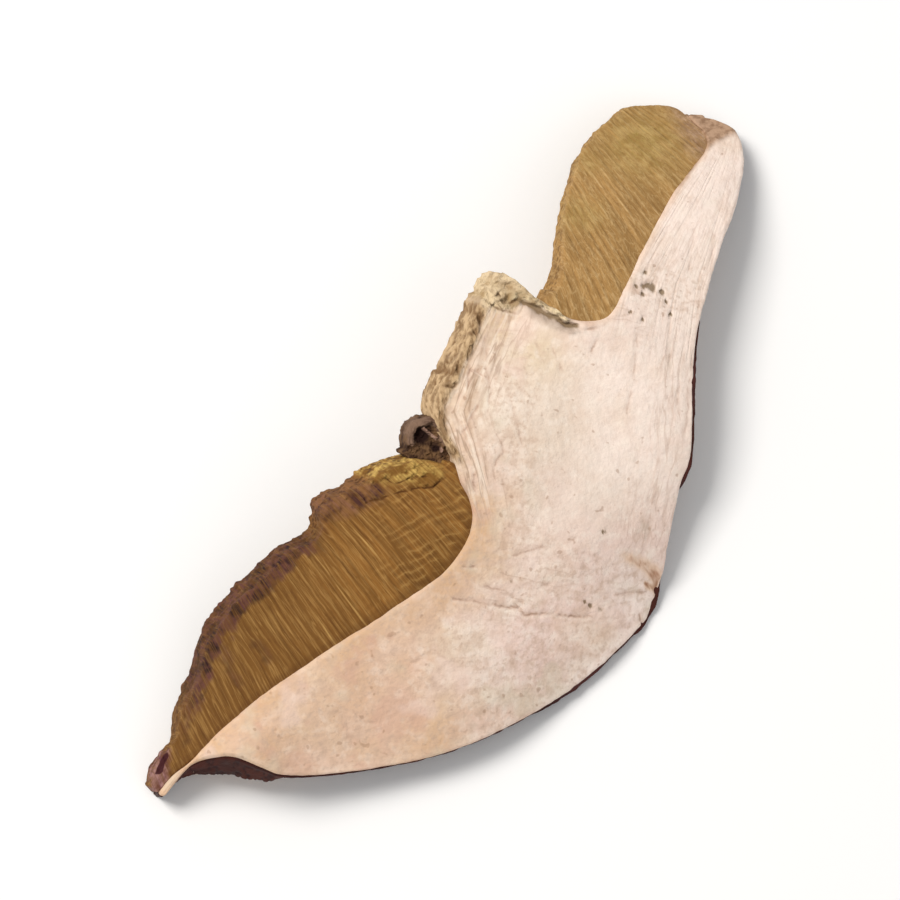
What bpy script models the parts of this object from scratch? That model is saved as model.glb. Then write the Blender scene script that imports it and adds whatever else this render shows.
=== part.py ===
"""A dried slice of bay bolete, cut lengthwise through the cap and the top of the stem.

The slice lies on its back, domed by the drying, with its cut face up. It rests on three small
flats: under the cap's lower tip, under its upper tip and under the cap's margin between them.
+X is to the right and +Y away from a viewer who looks down on the cut face. The outlines and all
other sizes are in millimetres. The outlines are those of the cut face.
"""

import math

import bmesh
import bpy
import numpy as np

METRES = 0.001

# The slice
THICKNESS = 2.6
GAP = 0.3
SKIN_THICKNESS = 0.5
RIM_WIDTH = 0.5
RIM_DROP = 0.3
CENTRE_SHIFT = (-0.09, -2.48)

# How far the back face lies from the cut face in X and Y, because the knife went in aslant
STEM_LEAN = (-1.3, 1.6)
TIP_LEAN, TIP_LEAN_Y, TIP_LEAN_FADE = (-0.4, 1.1), 15.0, 2.5  # beyond this Y, towards the upper tip
CURL_LEAN, CURL_LEAN_RADIUS = (1.0, -2.4), 5.0  # on top of it, where the lower tip curls under

# The dome that the slice dried into
LONG_AXIS = math.radians(51.5)  # from tip to tip of the cap, from +X
CROWN_HEIGHT = 7.0
ALONG_BEND = 0.0058
ALONG_CENTRE = 1.7
ACROSS_BEND = 0.0225
ACROSS_CENTRE = 0.5
STEM_SIDE_SHARE = 0.5  # the stem's side droops less than the cap's margin
CURL_HEIGHT, CURL_AT, CURL_RADIUS = 1.9, (-15.5, -23.5), 4.0
FOLD_DEPTH, FOLD_Y, FOLD_WIDTH, FOLD_START, FOLD_FADE = 0.5, -11.0, 2.2, 5.0, 2.0
WARP_HEIGHT, WARP_X, WARP_Y = 0.35, (0.42, 0.5), (0.30, 1.2)

# The outlines, all of them from the cap's lower tip to its upper tip
CAP_EDGE = [
    (-20.2, -25.2), (-19.0, -23.9), (-18.0, -23.2), (-16.7, -23.0), (-15.1, -23.1), (-13.2, -23.8),
    (-11.3, -24.3), (-7.6, -24.0), (-3.0, -23.1), (1.7, -21.6), (6.5, -19.0), (10.5, -16.0),
    (13.9, -12.6), (15.2, -10.3), (15.7, -8.4), (16.1, -5.9), (16.8, -3.1), (17.8, -0.7),
    (18.0, 1.9), (18.1, 4.9), (18.4, 8.7), (19.2, 12.6), (20.5, 16.8), (21.6, 20.1),
    (22.4, 24.0), (21.9, 26.8), (20.5, 27.8), (19.4, 28.0),
]
LONG_BED = [
    (-20.6, -24.5), (-19.7, -23.2), (-18.7, -22.5), (-17.4, -21.8), (-15.7, -20.6), (-13.1, -18.7),
    (-9.0, -15.9), (-4.5, -13.1), (-0.5, -10.2), (1.2, -8.1), (1.7, -6.5), (1.5, -5.0),
    (0.9, -3.8), (0.6, -2.8),
]
STEM_SIDE = [
    (0.6, -2.8), (0.3, -1.7), (-0.3, -0.6), (-0.7, 0.5), (-0.9, 1.6), (-0.7, 2.9), (0.3, 5.0),
    (1.4, 7.7), (2.3, 10.6), (3.6, 12.8),
]
STEM_END = [(3.6, 12.8), (4.8, 12.4), (6.2, 10.9), (7.6, 9.9)]
SHORT_BED = [
    (7.6, 9.9), (8.6, 9.1), (10.1, 8.8), (11.7, 9.4), (12.9, 11.8), (14.3, 15.2), (15.9, 18.8),
    (17.8, 22.1), (19.3, 24.6), (19.3, 26.2), (18.6, 27.2),
]
LONG_PORES = [
    (-21.2, -24.1), (-21.0, -23.2), (-20.3, -22.1), (-19.4, -21.0), (-18.9, -19.1), (-17.9, -17.3),
    (-17.2, -15.1), (-15.7, -12.7), (-13.6, -10.5), (-11.3, -8.5), (-9.3, -7.6), (-8.4, -5.0),
    (-6.3, -4.1), (-4.6, -2.8), (-2.8, -2.1), (-1.3, -2.2), (-0.3, -2.5),
]
SHORT_PORES = [
    (8.0, 11.2), (8.4, 13.0), (8.5, 16.8), (9.0, 20.3), (9.8, 23.5), (11.3, 26.2), (13.4, 28.5),
    (15.7, 29.1), (17.2, 28.9), (17.9, 28.2),
]

# Places along the cap's edge and along the flesh's inner side that lie across from each other
FLESH_START = (3.9, 3.4)
CROOK = (12.0, 10.0)  # where the long tubes end and the cap turns into the stem
STEM_CORNER = (15.0, 22.0)
STEM_FOOT = (17.3, 27.0)  # where the stem's broken end meets the short tubes
FLESH_END = (25.9, 35.0)

# How finely each piece is divided
FLESH_STATIONS, FLESH_ROWS = (22, 16, 8, 16), 14
LONG_RIDGES, SHORT_RIDGES, RIDGE_STATIONS, TUBE_ROWS = 21, 15, 4, 3
RIDGE_DEPTH = 0.22
SKIN_STATIONS = 90
CURVE_STEPS = 12


def rest_height(x, y):
    """How high the middle of the slice lies over the table at a place."""
    along = x * math.cos(LONG_AXIS) + y * math.sin(LONG_AXIS) - ALONG_CENTRE
    across = x * math.sin(LONG_AXIS) - y * math.cos(LONG_AXIS) - ACROSS_CENTRE
    side = 1.0 if across > 0 else STEM_SIDE_SHARE
    dome = CROWN_HEIGHT - ALONG_BEND * along**2 - ACROSS_BEND * side * across**2
    from_curl = math.hypot(x - CURL_AT[0], y - CURL_AT[1]) / CURL_RADIUS
    fold = math.exp(-(((y - FOLD_Y) / FOLD_WIDTH) ** 2)) / (1 + math.exp((FOLD_START - x) / FOLD_FADE))
    warp = math.sin(WARP_X[0] * x + WARP_X[1]) * math.sin(WARP_Y[0] * y + WARP_Y[1])
    return dome + CURL_HEIGHT * math.exp(-(from_curl**2)) - FOLD_DEPTH * fold + WARP_HEIGHT * warp


def lean(x, y):
    """How far the back face lies from the cut face at a place of the cut face."""
    share = 1 / (1 + math.exp((TIP_LEAN_Y - y) / TIP_LEAN_FADE))
    from_curl = math.hypot(x - CURL_AT[0], y - CURL_AT[1]) / CURL_LEAN_RADIUS
    curl = math.exp(-(from_curl**2))
    return [
        stem * (1 - share) + tip * share + under * curl
        for stem, tip, under in zip(STEM_LEAN, TIP_LEAN, CURL_LEAN)
    ]


def smooth_place(points, place):
    """The point on a smooth curve through the points, where a whole place is a point itself."""
    last = len(points) - 1
    start = min(max(int(place), 0), last - 1)
    t = place - start
    before, here, there, after = (
        np.array(points[min(max(start + step, 0), last)]) for step in (-1, 0, 1, 2)
    )
    bend = 2 * before - 5 * here + 4 * there - after
    turn = 3 * here - before - 3 * there + after
    return (2 * here + (there - before) * t + bend * t**2 + turn * t**3) / 2


def even_points(points, first, last, count):
    """Points a like distance apart on the smooth curve, from one place along it to another."""
    places = np.linspace(first, last, max(int((last - first) * CURVE_STEPS), CURVE_STEPS) + 1)
    line = np.array([smooth_place(points, place) for place in places])
    lengths = np.concatenate([[0], np.cumsum(np.linalg.norm(np.diff(line, axis=0), axis=1))])
    wanted = np.linspace(0, lengths[-1], count + 1)
    return np.stack([np.interp(wanted, lengths, line[:, axis]) for axis in (0, 1)], axis=1)


def moved_left(line, distance):
    """The line moved to the left of its own direction, which is inwards for the cap's edge."""
    direction = np.gradient(line, axis=0)
    direction /= np.linalg.norm(direction, axis=1)[:, None]
    return line + distance * np.stack([-direction[:, 1], direction[:, 0]], axis=1)


def matched(points, marks, counts):
    """Stations along a curve in several stretches, so that two unlike curves keep step."""
    runs = [even_points(points, *marks[i : i + 2], count)[:-1] for i, count in enumerate(counts)]
    return np.concatenate([*runs, [smooth_place(points, marks[-1])]])


def material(name, colour, roughness):
    made = bpy.data.materials.new(name)
    made.use_nodes = True
    shader = made.node_tree.nodes["Principled BSDF"]
    shader.inputs["Base Color"].default_value = (*colour, 1)
    shader.inputs["Roughness"].default_value = roughness
    shader.inputs["Metallic"].default_value = 0
    return made


def slab(name, right, left, rows, finish, collection, rim=RIM_DROP, relief=None):
    """A piece of the slice between two matched lines: a flat slab of unit cells, bent into place."""
    lengths = np.linalg.norm(left - right, axis=1)
    edge = np.minimum(RIM_WIDTH / lengths, 0.3)
    shares = [np.zeros_like(edge)]
    if rim:
        shares += [edge + (1 - 2 * edge) * row / rows for row in range(rows + 1)]
    shares.append(np.ones_like(edge))
    last_row, last_station = len(shares) - 1, len(right) - 1

    bm = bmesh.new()
    bmesh.ops.create_grid(bm, x_segments=last_station, y_segments=last_row, size=0.5)
    for vertex in bm.verts:
        vertex.co.x = (vertex.co.x + 0.5) * last_station
        vertex.co.y = (vertex.co.y + 0.5) * last_row
    bmesh.ops.solidify(bm, geom=bm.faces[:], thickness=1)
    level = max(vertex.co.z for vertex in bm.verts)
    for vertex in bm.verts:
        station, row = round(vertex.co.x), round(vertex.co.y)
        on_face = abs(vertex.co.z - level) < 0.5
        share = shares[row][station]
        x, y = right[station] * (1 - share) + left[station] * share
        if not on_face:
            x, y = (x, y) + np.array(lean(x, y))
        drop = rim if row in (0, last_row) or station in (0, last_station) else 0
        if relief:
            drop = max(drop, relief(station))
        half = THICKNESS / 2 - drop
        z = rest_height(x, y) + (half if on_face else -half)
        vertex.co = (x + CENTRE_SHIFT[0], y + CENTRE_SHIFT[1], max(z, 0))
    bmesh.ops.scale(bm, vec=(METRES,) * 3, verts=bm.verts)
    bmesh.ops.recalc_face_normals(bm, faces=bm.faces)
    mesh = bpy.data.meshes.new(name)
    bm.to_mesh(mesh)
    bm.free()
    mesh.materials.append(finish)
    collection.objects.link(bpy.data.objects.new(name, mesh))


def ridge(station):
    """How deep the face lies between two ridges of tubes at a station."""
    return RIDGE_DEPTH * (0.5 - 0.5 * math.cos(2 * math.pi * station / RIDGE_STATIONS))


def tubes(name, bed, pores, ridges, finish, collection):
    """A layer of tubes across its bed, its pore edge scalloped by the ridges."""
    stations = ridges * RIDGE_STATIONS
    bed_line = moved_left(even_points(bed, 0, len(bed) - 1, stations), GAP / 2)
    pore_line = even_points(pores, 0, len(pores) - 1, stations)
    scallops = np.array([ridge(station) for station in range(stations + 1)])[:, None]
    inwards = bed_line - pore_line
    inwards /= np.maximum(np.linalg.norm(inwards, axis=1), RIM_WIDTH)[:, None]
    slab(name, bed_line, pore_line + scallops * inwards, TUBE_ROWS, finish, collection, relief=ridge)


def flesh(collection, finish):
    """The cap's flesh and the stub of the stem, grown as one."""
    inner = LONG_BED + STEM_SIDE[1:] + STEM_END[1:] + SHORT_BED[1:]
    marks = (FLESH_START, CROOK, STEM_CORNER, STEM_FOOT, FLESH_END)
    right = matched(CAP_EDGE, [mark[0] for mark in marks], FLESH_STATIONS)
    left = matched(inner, [mark[1] for mark in marks], FLESH_STATIONS)
    right = moved_left(right, SKIN_THICKNESS + GAP)
    left = moved_left(left, -GAP / 2)
    slab("cap_and_stem", right, left, FLESH_ROWS, finish, collection)


def skin(collection, finish):
    """The cap's skin, a strip along the whole of the cap's edge."""
    outside = even_points(CAP_EDGE, 0, len(CAP_EDGE) - 1, SKIN_STATIONS)
    slab("cap_skin", outside, moved_left(outside, SKIN_THICKNESS), 1, finish, collection, rim=0)


def main():
    for obj in list(bpy.data.objects):
        bpy.data.objects.remove(obj, do_unlink=True)
    collection = bpy.data.collections.new("dried_bay_bolete")
    bpy.context.scene.collection.children.link(collection)
    tube_finish = material("ochre tubes", (0.30, 0.17, 0.05), 0.85)
    flesh(collection, material("cream flesh", (0.84, 0.70, 0.58), 0.8))
    tubes("tubes_long", LONG_BED[:-1], LONG_PORES, LONG_RIDGES, tube_finish, collection)
    tubes("tubes_short", SHORT_BED[:-1], SHORT_PORES, SHORT_RIDGES, tube_finish, collection)
    skin(collection, material("plum brown skin", (0.08, 0.04, 0.05), 0.55))


main()
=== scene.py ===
# %% [markdown]
# A slice of bay bolete, cut lengthwise through the cap and the top of the stem and then dried.
# It lies on its back with its cut face up. Four kinds of tissue meet in it: the cream flesh of
# the cap and stem, two layers of ochre tubes on either side of the stem, and the thin plum-brown
# skin of the cap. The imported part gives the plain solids. This lesson builds the same slice
# again with the fibres, tubes, cracks and wrinkles that drying leaves, and then gives each
# tissue its own finish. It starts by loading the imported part, whose box sets the real size.

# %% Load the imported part
import math

import bpy
import numpy as np
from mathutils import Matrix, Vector, noise


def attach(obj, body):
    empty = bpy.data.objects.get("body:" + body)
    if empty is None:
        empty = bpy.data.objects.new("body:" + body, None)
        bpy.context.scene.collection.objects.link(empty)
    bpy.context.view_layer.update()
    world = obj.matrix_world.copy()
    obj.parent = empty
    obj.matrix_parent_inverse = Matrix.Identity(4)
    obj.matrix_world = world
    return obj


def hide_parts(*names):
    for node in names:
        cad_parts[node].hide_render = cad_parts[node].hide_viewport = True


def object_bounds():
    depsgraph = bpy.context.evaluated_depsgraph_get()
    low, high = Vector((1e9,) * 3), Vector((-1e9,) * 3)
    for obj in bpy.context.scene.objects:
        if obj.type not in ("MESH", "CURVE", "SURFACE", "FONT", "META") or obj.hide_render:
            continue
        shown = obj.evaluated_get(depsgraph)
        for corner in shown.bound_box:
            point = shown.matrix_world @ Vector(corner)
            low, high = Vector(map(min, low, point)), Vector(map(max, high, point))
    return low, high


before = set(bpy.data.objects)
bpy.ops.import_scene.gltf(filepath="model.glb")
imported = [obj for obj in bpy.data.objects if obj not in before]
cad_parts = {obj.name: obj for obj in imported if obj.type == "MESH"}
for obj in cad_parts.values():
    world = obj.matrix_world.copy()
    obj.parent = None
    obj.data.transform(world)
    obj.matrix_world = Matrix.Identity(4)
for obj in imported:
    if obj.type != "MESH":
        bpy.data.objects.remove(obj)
cad_low, cad_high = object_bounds()
METRES = 0.001
box_mm = [round((high - low) / METRES, 2) for low, high in zip(cad_low, cad_high)]
print("the packed slice measures", box_mm, "mm and has", sorted(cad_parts))

# %% [markdown]
# The camera comes first, so that every later step can be looked at. The photograph looks down
# on the slice from the front at about 70 degrees, from far enough away that the lens hardly
# tapers it. A camera 250 mm away with a long lens gives the same picture. It aims at one point
# of the slice, a little above the table.

# %% Camera
CAMERA_AIM = (-0.09, -2.48, 4.7)  # millimetres
CAMERA_DISTANCE = 250.0  # millimetres
CAMERA_ELEVATION = math.radians(70)
FIELD_WIDTH = 65.5  # millimetres across the picture at the aim
SENSOR_WIDTH = 36.0  # millimetres, Blender's usual sensor


def make_camera():
    camera = bpy.data.objects.new("camera", bpy.data.cameras.new("camera"))
    bpy.context.scene.collection.objects.link(camera)
    back = Vector((0, -math.cos(CAMERA_ELEVATION), math.sin(CAMERA_ELEVATION)))
    camera.location = (Vector(CAMERA_AIM) + back * CAMERA_DISTANCE) * METRES
    camera.rotation_mode = "QUATERNION"
    camera.rotation_quaternion = (-back).to_track_quat("-Z", "Y")
    camera.data.sensor_width = SENSOR_WIDTH
    camera.data.lens = SENSOR_WIDTH * CAMERA_DISTANCE / FIELD_WIDTH
    camera.data.clip_start, camera.data.clip_end = 0.01, 10
    bpy.context.scene.camera = camera
    print("the lens is", round(camera.data.lens, 1), "mm long")


make_camera()

# %% [markdown]
# A studio table needs only a plain pale surface and soft light. The floor is one large sheet,
# big enough that a camera close to the table still sees nothing but floor. A white sky fills the
# shadows, and a broad lamp from the upper left gives the folds and fibres their shape. Broad
# lamps give soft shadows, as a light tent does.

# %% Floor and light
FLOOR_SIZE = 6.0  # metres
FLOOR_COLOUR = (0.92, 0.915, 0.91)
SKY_STRENGTH = 0.44
LAMPS = {  # place and size in metres, power in watts, colour
    "key": ((-0.32, 0.16, 0.50), 0.30, 3.2, (1.0, 0.97, 0.93)),
    "fill": ((0.40, -0.40, 0.35), 0.50, 0.75, (0.96, 0.98, 1.0)),
}


def make_floor():
    half = FLOOR_SIZE / 2
    mesh = bpy.data.meshes.new("floor")
    corners = [(-half, -half, 0), (half, -half, 0), (half, half, 0), (-half, half, 0)]
    mesh.from_pydata(corners, [], [(0, 1, 2, 3)])
    floor = bpy.data.objects.new("floor", mesh)
    bpy.context.scene.collection.objects.link(floor)
    paper = bpy.data.materials.new("pale paper")
    paper.use_nodes = True
    shader = paper.node_tree.nodes["Principled BSDF"]
    shader.inputs["Base Color"].default_value = (*FLOOR_COLOUR, 1)
    shader.inputs["Roughness"].default_value = 0.9
    mesh.materials.append(paper)


def make_lights():
    world = bpy.data.worlds.new("white sky")
    world.use_nodes = True
    sky = world.node_tree.nodes["Background"]
    sky.inputs["Color"].default_value = (1, 1, 1, 1)
    sky.inputs["Strength"].default_value = SKY_STRENGTH
    bpy.context.scene.world = world
    for name, (place, size, power, colour) in LAMPS.items():
        light = bpy.data.lights.new(name, "AREA")
        light.size, light.energy, light.color = size, power, colour
        holder = bpy.data.objects.new(name, light)
        bpy.context.scene.collection.objects.link(holder)
        holder.location = place
        holder.rotation_mode = "QUATERNION"
        holder.rotation_quaternion = (-Vector(place)).to_track_quat("-Z", "Y")
    bpy.context.scene.view_settings.view_transform = "Standard"


make_floor()
make_lights()
print("lamps:", ", ".join(LAMPS))

# %% [markdown]
# The outlines are those of the cut face, in millimetres, from the cap's lower tip to its upper
# tip. They are the same lines that the imported part was built on, so that the detailed slice fills
# the same space. Only a few given points are needed: a smooth curve runs through them.

# %% Outlines of the cut face
THICKNESS = 2.6  # of the slice, in millimetres
CENTRE_SHIFT = (-0.09, -2.48)  # puts the whole slice in the middle of the frame
CAP_EDGE = [
    (-20.2, -25.2), (-19.0, -23.9), (-18.0, -23.2), (-16.7, -23.0), (-15.1, -23.1), (-13.2, -23.8),
    (-11.3, -24.3), (-7.6, -24.0), (-3.0, -23.1), (1.7, -21.6), (6.5, -19.0), (10.5, -16.0),
    (13.9, -12.6), (15.2, -10.3), (15.7, -8.4), (16.1, -5.9), (16.8, -3.1), (17.8, -0.7),
    (18.0, 1.9), (18.1, 4.9), (18.4, 8.7), (19.2, 12.6), (20.5, 16.8), (21.6, 20.1),
    (22.4, 24.0), (21.9, 26.8), (20.5, 27.8), (19.4, 28.0),
]
LONG_BED = [
    (-20.5, -24.8), (-19.5, -23.75), (-18.5, -23.15), (-17.3, -22.2), (-15.7, -20.7),
    (-13.1, -18.7), (-9.0, -15.9), (-4.5, -13.1), (-0.5, -10.2), (1.2, -8.1), (1.7, -6.5),
    (1.5, -5.0), (0.9, -3.8), (0.6, -2.8),
]
STEM_SIDE = [
    (0.3, -1.7), (-0.3, -0.6), (-0.7, 0.5), (-0.9, 1.6), (-0.7, 2.9), (0.3, 5.0),
    (1.4, 7.7), (2.3, 10.6), (3.6, 12.8),
]
STEM_END = [(4.8, 12.4), (6.2, 10.9), (7.6, 9.9)]
SHORT_BED = [
    (7.6, 9.9), (8.6, 9.1), (10.1, 8.8), (11.7, 9.4), (12.9, 11.8), (14.3, 15.2), (15.9, 18.8),
    (17.8, 22.1), (19.3, 24.6), (19.3, 26.2), (18.6, 27.2),
]
LONG_PORES = [
    (-21.2, -24.1), (-21.0, -23.2), (-20.3, -22.1), (-19.4, -21.0), (-18.9, -19.1), (-17.9, -17.3),
    (-17.2, -15.1), (-15.7, -12.7), (-13.6, -10.5), (-11.3, -8.5), (-9.3, -7.6), (-8.4, -5.0),
    (-6.3, -4.1), (-4.6, -2.8), (-2.8, -2.1), (-1.3, -2.2), (-0.3, -2.5),
]
SHORT_PORES = [
    (8.0, 11.2), (8.4, 13.0), (8.5, 16.8), (9.0, 20.3), (9.8, 23.5), (11.3, 26.2), (13.4, 28.5),
    (15.7, 29.1), (17.2, 28.9), (17.9, 28.2),
]
CURVE_STEPS = 12  # places measured between two points of a curve


def smooth_place(points, place):
    """The point on a smooth curve through the points, where a whole place is a point itself."""
    last = len(points) - 1
    start = min(max(int(place), 0), last - 1)
    t = place - start
    before, here, there, after = (
        np.array(points[min(max(start + step, 0), last)]) for step in (-1, 0, 1, 2)
    )
    bend = 2 * before - 5 * here + 4 * there - after
    turn = 3 * here - before - 3 * there + after
    return (2 * here + (there - before) * t + bend * t**2 + turn * t**3) / 2


def even_points(points, first, last, count):
    """Points a like distance apart on the smooth curve, from one place along it to another."""
    places = np.linspace(first, last, max(int((last - first) * CURVE_STEPS), CURVE_STEPS) + 1)
    line = np.array([smooth_place(points, place) for place in places])
    lengths = np.concatenate([[0], np.cumsum(np.linalg.norm(np.diff(line, axis=0), axis=1))])
    wanted = np.linspace(0, lengths[-1], count + 1)
    return np.stack([np.interp(wanted, lengths, line[:, axis]) for axis in (0, 1)], axis=1)


def matched(points, marks, counts):
    """Stations along a curve in several stretches, so that two unlike curves keep step."""
    runs = [even_points(points, *marks[i : i + 2], count)[:-1] for i, count in enumerate(counts)]
    return np.concatenate([*runs, [smooth_place(points, marks[-1])]])


def moved_left(line, distance):
    """The line moved to the left of its own direction, which is inwards for the cap's edge."""
    direction = np.gradient(line, axis=0)
    direction /= np.linalg.norm(direction, axis=1)[:, None]
    distance = np.broadcast_to(distance, len(line))[:, None]
    return line + distance * np.stack([-direction[:, 1], direction[:, 0]], axis=1)


print("the cap's edge has", len(CAP_EDGE), "points and the tubes' beds", len(LONG_BED + SHORT_BED))

# %% [markdown]
# Drying makes the slice dome up off the table. It rests on both tips of the cap and on the cap's
# margin between them. Two smooth functions hold that shape: how high the middle of the slice lies
# at each place, and how far the back face lies from the cut face, because the knife went in
# aslant. The rest of the lesson works on the flat outline and uses these two to bend it.

# %% The dome and the slant of the cut
STEM_LEAN = (-1.3, 1.6)  # how far aside the back face lies, in the stem and the lower cap
TIP_LEAN, TIP_LEAN_Y, TIP_LEAN_FADE = (-0.4, 1.1), 15.0, 2.5  # the same in the upper arm
CURL_LEAN, CURL_LEAN_RADIUS = (1.0, -2.4), 5.0  # added where the lower margin arches up
LONG_AXIS = math.radians(51.5)
CROWN_HEIGHT = 7.0
ALONG_BEND, ALONG_CENTRE = 0.0058, 1.7
ACROSS_BEND, ACROSS_CENTRE, STEM_SIDE_SHARE = 0.0225, 0.5, 0.5
CURL_HEIGHT, CURL_AT, CURL_RADIUS = 1.9, (-15.5, -23.5), 4.0  # the lower margin's arch
FOLD_DEPTH, FOLD_Y, FOLD_WIDTH = 0.5, -11.0, 2.2  # a broad fold in from the pinch
FOLD_START, FOLD_FADE = 5.0, 2.0
WARP_HEIGHT, WARP_X, WARP_Y = 0.35, (0.42, 0.5), (0.30, 1.2)


def rest_height(x, y):
    """How high the middle of the slice lies over the table at a place."""
    along = x * math.cos(LONG_AXIS) + y * math.sin(LONG_AXIS) - ALONG_CENTRE
    across = x * math.sin(LONG_AXIS) - y * math.cos(LONG_AXIS) - ACROSS_CENTRE
    side = np.where(across > 0, 1.0, STEM_SIDE_SHARE)
    dome = CROWN_HEIGHT - ALONG_BEND * along**2 - ACROSS_BEND * side * across**2
    from_curl = np.hypot(x - CURL_AT[0], y - CURL_AT[1]) / CURL_RADIUS
    fold = np.exp(-(((y - FOLD_Y) / FOLD_WIDTH) ** 2)) / (1 + np.exp((FOLD_START - x) / FOLD_FADE))
    warp = np.sin(WARP_X[0] * x + WARP_X[1]) * np.sin(WARP_Y[0] * y + WARP_Y[1])
    return dome + CURL_HEIGHT * np.exp(-(from_curl**2)) - FOLD_DEPTH * fold + WARP_HEIGHT * warp


def lean(x, y):
    """How far the back face lies from the cut face at a place of the cut face."""
    share = 1 / (1 + np.exp((TIP_LEAN_Y - y) / TIP_LEAN_FADE))
    from_curl = np.hypot(x - CURL_AT[0], y - CURL_AT[1]) / CURL_LEAN_RADIUS
    curl = np.exp(-(from_curl**2))
    return [
        stem * (1 - share) + tip * share + under * curl
        for stem, tip, under in zip(STEM_LEAN, TIP_LEAN, CURL_LEAN)
    ]


crown = float(rest_height(5.0, 0.0)) + THICKNESS / 2
print("the crown lies", round(crown, 2), "mm over the table")

# %% [markdown]
# Each tissue is built as a loft: a closed rounded cross-section is repeated at many stations
# along the tissue, and the stations are joined into one skin. A loft suits a slice better than a
# flat sheet with thickness, because its points can lie close together on the face that shows,
# and its edges come out rounded as dried edges are. Each point remembers where it is on the
# slice, so that the next steps can raise fibres or press pits there. Ends are closed with a few
# shrinking sections, which rounds them too.

# %% Loft helpers
END_RINGS = 5  # sections that round each end
WIDEST_CORNER, LEAST_CORNER, LEAST_CORE = 0.45, 0.15, 0.02  # shares of width and radius, and mm
TABLE_GAP = 0.01  # millimetres between the lowest faces and the table, so that they don't merge
TOUCH_ROUNDS = 3  # pressing a leaning point up moves it aside, so it is done a few times


def ring(face, back, wall, corner=5, crowd=0.0):
    """The places round one cross-section: share across, height, and the way outwards.

    Crowd packs the places of the face closer together on the left.
    """
    across = np.linspace(0, 1, face)
    turn = np.linspace(0, math.pi / 2, corner + 1)[1:-1]
    one, none = np.ones(corner - 1), np.zeros(corner - 1)
    parts = [
        (across + crowd * across * (1 - across), np.ones(face), np.zeros(face), np.ones(face)),
        (one, one, np.sin(turn), np.cos(turn)),
        (np.ones(wall), np.linspace(1, -1, wall), np.ones(wall), np.zeros(wall)),
        (one, -one, np.cos(turn), -np.sin(turn)),
        (np.linspace(1, 0, back), -np.ones(back), np.zeros(back), -np.ones(back)),
        (none, -one, -np.sin(turn), -np.cos(turn)),
        (np.zeros(wall), np.linspace(-1, 1, wall), -np.ones(wall), np.zeros(wall)),
        (none, one, -np.cos(turn), np.sin(turn)),
    ]
    return np.concatenate([np.array(part) for part in parts], axis=1)


class Loft:
    """All the points of one tissue, by station and by place round the section."""

    def __init__(self, right, left, section, radius, top=THICKNESS / 2, bottom=-THICKNESS / 2):
        count = len(right)
        swing = np.linspace(0, math.pi / 2, END_RINGS + 1)[1:]
        index = np.concatenate([[0] * END_RINGS, np.arange(count), [count - 1] * END_RINGS])
        self.full = np.concatenate([np.cos(swing)[::-1], np.ones(count), np.cos(swing)])[:, None]
        push = np.concatenate([-np.sin(swing)[::-1], np.zeros(count), np.sin(swing)]) * radius
        middle = (right + left) / 2
        steps = np.linalg.norm(np.diff(middle, axis=0), axis=1)
        lengths = np.concatenate([[0], np.cumsum(steps)])
        self.share, self.height, self.out_u, self.out_w = (row[None, :] for row in section)
        self.right, across = right[index], (left - right)[index]
        self.width = np.linalg.norm(across, axis=1)[:, None]
        self.radius = np.minimum(radius, WIDEST_CORNER * self.width)
        self.unit = across / self.width
        self.push = push[:, None] * np.stack([self.unit[:, 1], -self.unit[:, 0]], axis=1)
        self.top, self.bottom = (
            np.broadcast_to(side, count)[index][:, None] for side in (top, bottom)
        )
        self.along = lengths[index][:, None] + push[:, None] + 0 * self.share
        self.x, self.y, self.w = self.spread(0)
        self.from_left = np.maximum(self.width * (1 - self.share), 0) + 0 * self.along
        self.from_right = np.maximum(self.width * self.share, 0) + 0 * self.along

    def spread(self, lift):
        """Flat places and heights in the slice of all points, raised outwards by the lift."""
        out = np.maximum(self.radius + lift, LEAST_CORNER * self.radius) * self.full
        inner = np.maximum(self.width - 2 * self.radius, LEAST_CORE)
        start = (self.width - inner) / 2
        u = start + self.share * inner + self.out_u * out
        core_top, core_bottom = self.top - self.radius, self.bottom + self.radius
        core_middle, core_half = (core_top + core_bottom) / 2, (core_top - core_bottom) / 2
        w = core_middle + self.height * core_half + self.out_w * out
        base = self.right + self.push
        return (
            base[:, 0:1] + self.unit[:, 0:1] * u,
            base[:, 1:2] + self.unit[:, 1:2] * u,
            w,
        )

    def bent(self, lift):
        """The points in metres, bent as the slice lies, and pressed flat where it touches."""
        flat_x, flat_y, w = self.spread(lift)
        lean_x, lean_y = lean(flat_x, flat_y)
        for _ in range(TOUCH_ROUNDS):
            depth = 0.5 - w / THICKNESS
            x, y = flat_x + lean_x * depth, flat_y + lean_y * depth
            z = rest_height(x, y) + w
            w = w + np.maximum(TABLE_GAP - z, 0)
        z = np.maximum(z, TABLE_GAP)
        points = np.stack([x + CENTRE_SHIFT[0], y + CENTRE_SHIFT[1], z], axis=-1)
        return points * METRES


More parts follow.
